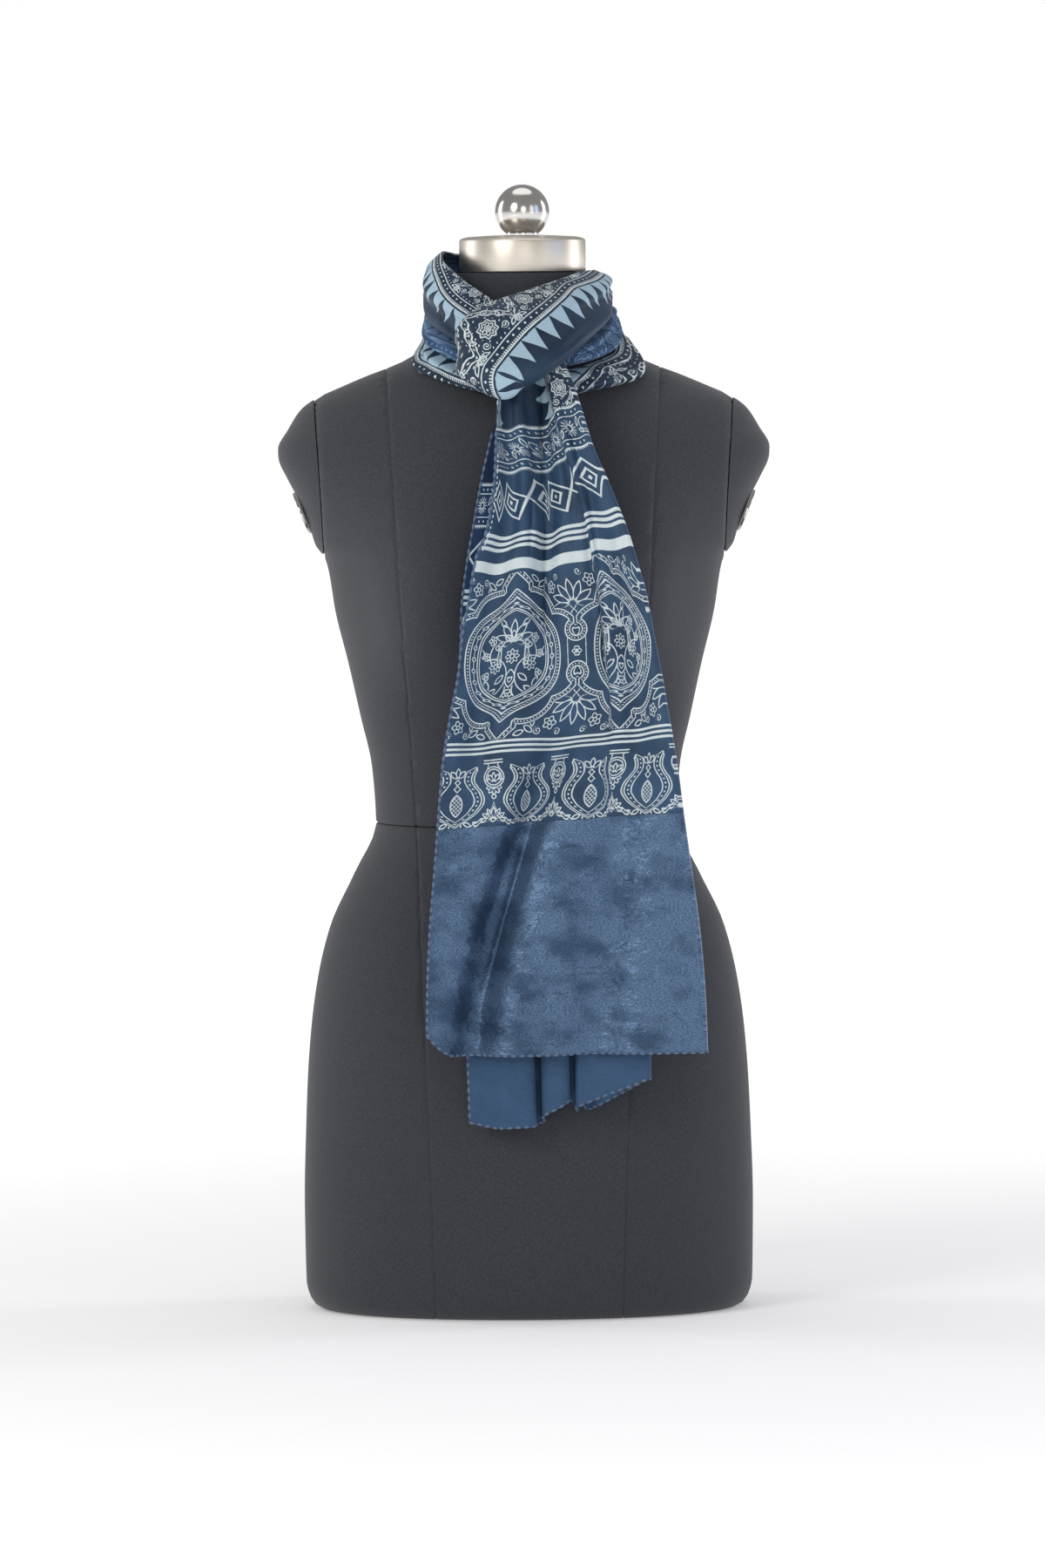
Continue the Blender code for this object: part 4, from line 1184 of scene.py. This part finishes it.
FRONT_TAIL = {  # in millimetres: levels, the left and right edges, the depth and the cloth across
    "z": (215, 257, 310, 360, 400, 440, 480, 510, 545, 570, 600, 620, 640, 660, 690, 710, 735, 754),
    "left": (-78, -77.5, -75, -71, -68, -64.5, -58, -52, -48, -43, -38, -30, -25.5, -23, -21.5, -21,
             -19, -15),
    "right": (137, 135.5, 131.5, 125, 119.5, 114.5, 108, 103, 96.5, 92, 84, 78, 70.5, 62.5, 50, 44, 36,
              28),
    "y": (-156, -156, -156, -156, -156, -156, -155.5, -155, -153.5, -152, -149, -146, -142, -137,
          -128.5, -121.5, -114, -110.8),
    "cloth": (234, 233, 226, 216, 208, 200, 190, 182, 172, 164, 152, 140, 128, 116, 96, 88, 74, 58),
}
FRONT_FOLDS = (  # levels; where each lies, as a share across; half widths; how deep
    {"kind": "valley", "z": (460, 560, 640, 752), "at": (0.43, 0.42, 0.43, 0.55),
     "wide": (16, 14, 13, 10), "deep": (0.00, 0.75, 1.00, 0.90)},
    {"kind": "pleat", "z": (420, 500, 640, 730), "at": (0.73, 0.74, 0.75, 0.76),
     "wide": (12, 9, 9, 7), "deep": (0.00, 0.90, 1.15, 0.60)},
    {"kind": "valley", "z": (630, 660, 700, 740), "at": (0.34, 0.34, 0.34, 0.34),
     "wide": (8, 8, 7, 6), "deep": (0.00, 0.55, 0.65, 0.60)},
    {"kind": "valley", "z": (213, 300, 400, 480), "at": (0.17, 0.24, 0.38, 0.55),
     "wide": (22, 22, 22, 18), "deep": (0.90, 1.00, 0.90, 0.00)},
    {"kind": "valley", "z": (300, 480, 620, 740), "at": (0.14, 0.14, 0.14, 0.14),
     "wide": (18, 16, 13, 8), "deep": (0.00, 0.45, 0.75, 0.75)},
    {"kind": "valley", "z": (213, 360, 560, 740), "at": (0.62, 0.72, 0.90, 0.90),
     "wide": (24, 22, 14, 8), "deep": (0.55, 0.40, 0.50, 0.60)},
)
SECTION_STEPS = 400
STEEPEST = 2.1  # how far the cloth may turn over in a fold, in radians
VALLEY_LEAN = -2.33
PLEAT_LEAN = -1.5
COVER_GAP = 0.0044  # from the front end's back to the middle of the back end's front layer
KNOT_FROM = 0.712  # over this level both ends hang in front of the neck's rolls
KNOT_DEPTH = -0.0925
HEM_REACH = 0.16  # how far up the lower edge's shape fades out


def folded_section(tail, folds, z, count):
    """The cloth's path across one level: x, y and the share of the width at each point."""
    level = z * 1000
    left, right, y0, width = (
        float(smooth(tail["z"], tail[k], level)) for k in ("left", "right", "y", "cloth")
    )
    share = np.linspace(0, 1, SECTION_STEPS + 1)
    lean = np.zeros(SECTION_STEPS + 1)
    for fold in folds:
        at, wide, deep = (float(smooth(fold["z"], fold[k], level)) for k in ("at", "wide", "deep"))
        off = (share - at) * width / wide
        bell = deep * np.exp(-off * off)
        lean += VALLEY_LEAN * off * bell if fold["kind"] == "valley" else PLEAT_LEAN * bell
    least, most = 0.0, 2.4
    for _ in range(40):
        gain = (least + most) / 2
        angle = np.clip(gain * lean, -STEEPEST, STEEPEST)
        if np.cos(angle).mean() * width > right - left:
            least = gain
        else:
            most = gain
    step = width / SECTION_STEPS
    across, ahead = np.cos(angle), np.sin(angle)
    x = np.concatenate([[0], np.cumsum((across[1:] + across[:-1]) / 2)]) * step
    y = np.concatenate([[0], np.cumsum((ahead[1:] + ahead[:-1]) / 2)]) * step
    x = left + x * (right - left) / x[-1]
    y = y - share * y[-1]
    y = y0 + y - y.mean()
    pick = np.linspace(0, SECTION_STEPS, count)
    places = range(SECTION_STEPS + 1)
    return np.interp(pick, places, x) / 1000, np.interp(pick, places, y) / 1000, pick / SECTION_STEPS


def tail_grid(tail, folds, heights, counts, hem, apart, cover=None):
    """Both layers of a hanging end: the front one, the turn at its right edge and the back one.
    With the points goes the place across each layer as a share, over 1 on the back layer."""
    front_count, back_count = counts
    grid, places = [], []
    for z in heights:
        x, y, share = folded_section(tail, folds, z, front_count)
        if cover:
            y = np.maximum(y, cover(x, z) + COVER_GAP)
        turn_x, turn_y = x[-1], y[-1]
        radius = apart / 2
        row = list(zip(x, y, share, share))
        for degrees in (-60, -30, 0, 30, 60):
            angle = math.radians(degrees)
            at = (turn_x + radius * math.cos(angle), turn_y + radius + radius * math.sin(angle))
            row.append((*at, 1.0, 1.0 + (degrees + 60) / 12000))
        behind_x = np.linspace(turn_x - 0.004, x[0] + 0.002, back_count)
        behind_y = np.array([y[np.abs(x - bx) < 0.010].max() for bx in behind_x])
        for _ in range(max(2, back_count // 6)):
            beside = np.concatenate([behind_y[:1], behind_y, behind_y[-1:]])
            behind_y = np.maximum(behind_y, (beside[:-2] + beside[1:-1] + beside[2:]) / 3)
        for bx, by in zip(behind_x, behind_y):
            back_share = (bx - x[0]) / (turn_x - x[0])
            row.append((bx, by + apart, back_share, 2.0 - back_share))
        drop = max(0.0, 1 - (z - heights[-1]) / HEM_REACH)
        points = np.array([(px, py, z + hem(ps) * drop) for px, py, ps, _ in row])
        body = form_front(points[:, 0], points[:, 2]) - BODY_GAP
        points[:, 1] = np.minimum(points[:, 1], np.where(points[:, 2] > KNOT_FROM, KNOT_DEPTH, body))
        grid.append(points)
        places.append([p[3] for p in row])
    return np.array(grid), np.array(places)


def front_hem(share):
    """The front end's lower edge: its left corner hangs a little lower and is rounded off."""
    return -0.0030 * (1 - share) + 0.017 * max(0.0, 1 - share / 0.11) ** 2


TUCK_LEVELS = (216.5, 435, 472, 537, 594, 655, 700, 754)
TUCKS = (  # cloth hidden in each gather at these levels, where it is as a share across, half its width
    {"size": (1.5, 0, 0, 1, 8, 55, 115, 165), "half": 0.09,
     "at": (0.09, 0.09, 0.09, 0.09, 0.09, 0.07, 0.02, 0.01)},
    {"size": (1.5, 0, 0, 2, 12, 30, 20, 11), "half": 0.02, "at": (0.43,) * 8},
    {"size": (1.5, 12, 11, 10, 16, 23, 9, 3), "half": 0.02, "at": (0.72,) * 8},
    {"size": (1.5, 4, 12, 18, 30, 7, 4, 3), "half": 0.08, "at": (0.92,) * 8},
)
TILT = {"z": (216.5, 430, 600, 754), "rise": (11, 13, 19, 21)}  # the print lies higher at the left
ARCH = {"z": (400, 560, 754), "share": (0.0, 0.4, 0.5)}  # and follows each fold up and down
KNOT_FOLDS = (  # the valleys and ridges that run down from the knot, in the same columns
    (13.2, 760, 14.8, 630, -4.4, 1.7), (14.6, 680, 15.2, 500, -4, 1.8), (27, 730, 50, 640, -4.4, 1.7),
    (44, 680, 59, 585, -4.4, 1.8), (54, 625, 65, 490, -4.2, 1.9), (21.5, 730, 33, 620, 3, 4.2),
    (42, 670, 48, 560, 2.8, 4.4), (60, 660, 74, 540, 2.8, 5), (2, 700, -4, 600, 2.6, 4.2),
    (6.4, 690, 4, 590, -3.4, 1.8),
)
END_FOLDS = (  # on the plain end, ridges over 0 and valleys under it: x and z at each end, height, half width
    (-22.7, 278.4, 25.5, 280.2, 0.8, 3), (25.5, 280.2, 73.7, 279.4, 1.6, 2.2),
    (25.5, 275.8, 70, 275.5, -1.1, 2.8), (-4, 258.5, 48, 275, -2, 7),
    (54.5, 290.1, 86.2, 299.5, 1.3, 2.6), (58.6, 295.4, 93.1, 308.6, -1.3, 6),
    (-29.7, 261.9, -10.5, 255.4, 1.1, 2.2), (-11.8, 255.4, 14.4, 270.2, 1.2, 2.2),
    (-27, 250.2, 3.2, 235.8, 1.2, 2.2), (3.2, 235.8, 39, 239.5, 1.1, 2.4),
    (-45.1, 227.9, 11.4, 232.9, 0.8, 1.6), (11.4, 232.9, 74.7, 227.9, 0.8, 1.6),
    (-45.1, 225, 74.7, 226.2, -0.6, 2), (-32.8, 313.5, -41.9, 284.6, 1.2, 2.8),
    (-41.9, 284.6, -59.9, 276.4, 1.1, 2.6), (-63.9, 300, -49.1, 246.1, 1, 2.6),
    (-56, 311, -50, 284, -1.4, 7), (-71.1, 236.4, -60.2, 220.6, 0.7, 2),
    (-60.2, 220.6, -39.6, 218.5, 0.7, 1.8), (94.4, 299, 98.4, 264, -1.2, 5),
    (62.4, 241.3, 110.5, 236.4, -1.3, 5), (106.5, 250.2, 127, 232.3, 1.1, 2.8),
    (-7.8, 244, 21, 244, -1.3, 4), (-7.4, 292.9, 12, 325.2, 1.1, 3.4), (67.1, 323.2, 39.4, 303.9, 1, 3.2),
    (108.3, 317.7, 121.9, 290.1, 1.1, 3.4), (12, 420, -44, 226, -3.6, 3.6),
    (3.5, 415, -52.5, 230, 1.2, 5), (15, 400, -8, 316, 1.7, 4.5), (8, 380, 48, 383, -1.6, 5),
    (48, 386, 78, 380, 1.2, 2.4), (78, 392, 110, 372, -1.2, 5.5), (-65, 370, -42, 370, 1.1, 2),
    (-70, 364, -54, 362, -1.4, 4), (-70, 347, -33, 350, -1.7, 5.5), (-64, 356, -30, 359, 1.3, 3),
    (38, 344, 62, 360, 1.3, 3.5), (68, 358, 86, 352, -1.4, 6), (18, 330, 34, 347, 1.2, 3),
    (40, 339, 56, 330, -1.2, 4.5), (82, 345, 92, 318, -1.3, 5.5), (-56, 327, -40, 310, 1.3, 3.5),
)
DEEPEST = 0.0036  # a valley stays clear of the layer behind
HEM_Z = 0.2125  # where the print's map starts
THIN_WALL = 0.0012
FRONT_LEVELS = np.concatenate([
    np.linspace(0.754, 0.420, 92, endpoint=False), np.linspace(0.420, 0.2165, 134)
])
FRONT_COUNT = 150
FRONT_SIZE = (FRONT_COUNT, 42)
front_grid, front_places = tail_grid(FRONT_TAIL, FRONT_FOLDS, FRONT_LEVELS, FRONT_SIZE, front_hem, 0.0052)
share = np.minimum(front_places, 1)
level = front_grid[..., 2] * 1000
hidden = np.zeros_like(share)
for tuck in TUCKS:
    at = smooth(TUCK_LEVELS, tuck["at"], level)
    half = np.minimum(tuck["half"], at + 0.02)
    step = np.clip((share - at + half) / (2 * half), 0, 1)
    hidden += smooth(TUCK_LEVELS, tuck["size"], level) * step * step * (3 - 2 * step)
seen = (share * smooth(FRONT_TAIL["z"], FRONT_TAIL["cloth"], level) + hidden) / 1000
at_fold = seen[:, FRONT_COUNT - 1 : FRONT_COUNT]
across = np.where(front_places > 1, 2 * at_fold - seen, seen)
sag = front_grid[..., 1] - front_grid[:, :FRONT_COUNT, 1].mean(1, keepdims=True)
tilt = smooth(TILT["z"], TILT["rise"], level) / 1000 * (1 - share)
along = level / 1000 - HEM_Z + tilt + sag * smooth(ARCH["z"], ARCH["share"], level)
face = front_grid[:, :FRONT_COUNT]
smooth_y = face[..., 1].copy()
for x0, z0, x1, z1, rise, wide in END_FOLDS + KNOT_FOLDS:
    face[..., 1] -= crease(face[..., 0] * 1000, face[..., 2] * 1000, (x0, z0, x1, z1), rise, wide) / 1000
face[..., 1] = np.minimum(face[..., 1], smooth_y + DEEPEST)
front_map = np.stack([across, along], axis=2)
tail_front = cloth("cloth_front_end", front_grid, front_map, THIN_WALL, print_look, wrong_look)
belongs(tail_front, "tail_front")

SCALLOP = 0.0066
HEM_RADIUS = 0.00105
HEM_SIDES = 8


def rolled_hem(name, path):
    """The edge rolled and bound over with thread, which draws it up into small scallops."""
    path = np.asarray(path, float)
    reach = np.concatenate([[0], np.cumsum(np.linalg.norm(np.diff(path, axis=0), axis=1))])
    s = np.arange(0, reach[-1], SCALLOP / 5)
    middle = np.column_stack([np.interp(s, reach, path[:, k]) for k in range(3)])
    run = np.gradient(middle, axis=0)
    run /= np.linalg.norm(run, axis=1, keepdims=True)
    first = np.cross(run, (0.0, -1.0, 0.0))
    first /= np.linalg.norm(first, axis=1, keepdims=True)
    second = np.cross(run, first)
    swell = np.abs(np.sin(math.pi * s / SCALLOP))
    radius = HEM_RADIUS * (0.65 + 0.55 * swell)
    turn = np.linspace(0, 2 * math.pi, HEM_SIDES, endpoint=False)
    rings = middle[:, None] + radius[:, None, None] * (
        np.cos(turn)[:, None] * first[:, None] + np.sin(turn)[:, None] * second[:, None]
    )
    faces, maps = [], []
    for r in range(len(s) - 1):
        for c in range(HEM_SIDES):
            d, here, above = (c + 1) % HEM_SIDES, r * HEM_SIDES, (r + 1) * HEM_SIDES
            faces.append((here + c, here + d, above + d, above + c))
            near, far = c / HEM_SIDES, (c + 1) / HEM_SIDES
            maps += [(s[r], near), (s[r], far), (s[r + 1], far), (s[r + 1], near)]
    for ring, order in ((0, -1), (len(s) - 1, 1)):
        faces.append([ring * HEM_SIDES + c for c in range(HEM_SIDES)][::order])
        maps += [(s[ring], 0.5)] * HEM_SIDES
    hem = put(name, rings.reshape(-1, 3), faces, thread.material, maps, 80)
    face_outwards(hem)
    belongs(hem)
    return hem


thread = Look("blue hem thread", (0.045, 0.085, 0.165), 0.7, Specular_IOR_Level=0.3)
run_along, run_round, _ = thread.split(thread.map())
wraps = ((run_along * (2 * math.pi / 0.0009)) + run_round * 6.2832).sine() * 0.5 + 0.5
# The pale wraps of thread are its own two tones; that they show only on the middle of each scallop, where it
# swells, is a painted highlight.
painted_crest_highlight = (((run_along / SCALLOP).maths("FRACT") * math.pi).sine() - 0.3).maths("MULTIPLY", 1.3, clamp=True)
thread.surface(Base_Color=thread.mix(wraps * painted_crest_highlight, (0.040, 0.075, 0.145), (0.21, 0.30, 0.43)))
thread.bump(wraps, 0.0003, 0.8)
SIDE_HEM_TOP = 0.70
front_edge = [p for p in front_grid[:, 0] if p[2] < SIDE_HEM_TOP]
front_hemmed = rolled_hem("hem_front_end", front_edge + list(front_grid[-1, 1:]))

STITCH = {"pitch": 0.0044, "long": 0.0026, "thick": 0.00045, "off": 0.0009}
STITCH_LEVELS = (0.600, 0.682)
STITCH_COLUMN = 3  # of the front end's grid, counted from its left edge
stitch_white = Look("white running stitches", (0.66, 0.72, 0.76), 0.7)
stitch_twist = stitch_white.noise(stitch_white.place(), 2600, 2)
stitch_white.surface(Base_Color=stitch_white.mix(stitch_twist, (0.45, 0.52, 0.58), (0.74, 0.79, 0.82)))
stitch_white.bump(stitch_twist, 0.0002, 0.6)


def running_stitches(name, points, faces_to):
    """A row of short bars of thread lying on the cloth, one shape copied along the line."""
    bpy.ops.object.select_all(action="DESELECT")
    parts = []
    for k in range(int(np.linalg.norm(points[-1] - points[0]) / STITCH["pitch"])):
        reach = np.linalg.norm(points - points[0], axis=1)
        at = k * STITCH["pitch"]
        start, end = (
            Vector([np.interp(t, reach, points[:, j]) for j in range(3)]) for t in (at, at + STITCH["long"])
        )
        bpy.ops.mesh.primitive_uv_sphere_add(segments=8, ring_count=6, radius=1)
        bar = bpy.context.object
        bar.data.transform(Matrix.Diagonal((STITCH["thick"], STITCH["thick"], STITCH["long"] / 2, 1)))
        bar.data.transform((end - start).to_track_quat("Z", "Y").to_matrix().to_4x4())
        bar.data.transform(Matrix.Translation((start + end) / 2 + Vector(faces_to)))
        parts.append(bar)
    for bar in parts:
        bar.select_set(True)
    bpy.ops.object.join()
    row = bpy.context.object
    row.name = name
    row.data.materials.clear()
    row.data.materials.append(stitch_white.material)
    row.data.shade_smooth()
    belongs(row)
    return row


stitch_line = [p for p in front_grid[:, STITCH_COLUMN] if STITCH_LEVELS[0] < p[2] < STITCH_LEVELS[1]]
stitches = running_stitches("stitches_front_end", np.array(stitch_line), (0, -STITCH["off"], 0))

# ---- The back end ----
# The other end hangs behind the first and a little lower, so that it shows along the
# left edge and below the hem.

BACK_TAIL = {  # the same as for the front end
    "z": (156, 213, 300, 400, 480, 520, 560, 600, 630, 660, 690, 720, 745),
    "left": (-45.5, -47, -49, -50, -50, -50, -49, -44, -38.5, -33, -26, -18, -13),
    "right": (93, 93, 93, 90, 85, 80, 75, 68, 62, 53, 42, 33, 24),
    "y": (-137, -137, -137, -136.5, -135.5, -134.5, -132.5, -128.5, -124.5, -119.5, -112.5, -105, -101),
    "cloth": (196, 196, 194, 188, 180, 170, 158, 140, 125, 108, 82, 60, 43),
}
BACK_FOLDS = tuple(
    {"kind": "valley", "z": (156, 300, 520, 740), "at": at, "wide": (13, 13, 11, 6),
     "deep": (1.00, 1.00, 0.90, 0.70)}
    for at in ((0.35, 0.35, 0.36, 0.38), (0.63, 0.63, 0.64, 0.64))
)
BACK_HEM = ((0.0, 0.10, 0.33, 0.38, 0.60, 0.66, 1.0), (0.004, 0.000, 0.002, 0.004, 0.026, 0.012, 0.038))


def behind_front(x, z):
    """The back of the front end, as y, where the back end has to hang behind it."""
    k = int(np.clip(np.searchsorted(-FRONT_LEVELS, -z) - 1, 0, len(FRONT_LEVELS) - 2))
    t = np.clip((FRONT_LEVELS[k] - z) / (FRONT_LEVELS[k] - FRONT_LEVELS[k + 1]), 0, 1)
    backs = front_grid[k : k + 2, :FRONT_COUNT:-1]
    rows = [np.interp(x, back[:, 0], back[:, 1]) for back in backs]
    return rows[0] * (1 - t) + rows[1] * t


def back_hem(share):
    """The back end's lower edge: lowest at the left, rising to the right in three lobes."""
    return float(np.interp(share, *BACK_HEM))


BACK_LEVELS = np.linspace(0.745, 0.156, 150)
BACK_SIZE = (140, 56)
BACK_HEM_Z = 0.153
back_grid, back_places = tail_grid(
    BACK_TAIL, BACK_FOLDS, BACK_LEVELS, BACK_SIZE, back_hem, 0.0050, behind_front
)
back_map = np.stack([back_places * CLOTH_WIDTH / 2, back_grid[..., 2] - BACK_HEM_Z], axis=2)
# The back end's right side wears the copy of the print darkened as painted shade.
tail_back = cloth("cloth_back_end", back_grid, back_map, THIN_WALL, painted_shade_look, wrong_look)
back_edge = [p for p in back_grid[:, 0] if p[2] < 0.70]
back_hemmed = rolled_hem("hem_back_end", back_edge + list(back_grid[-1, 1:]))
belongs(tail_back, "tail_back")
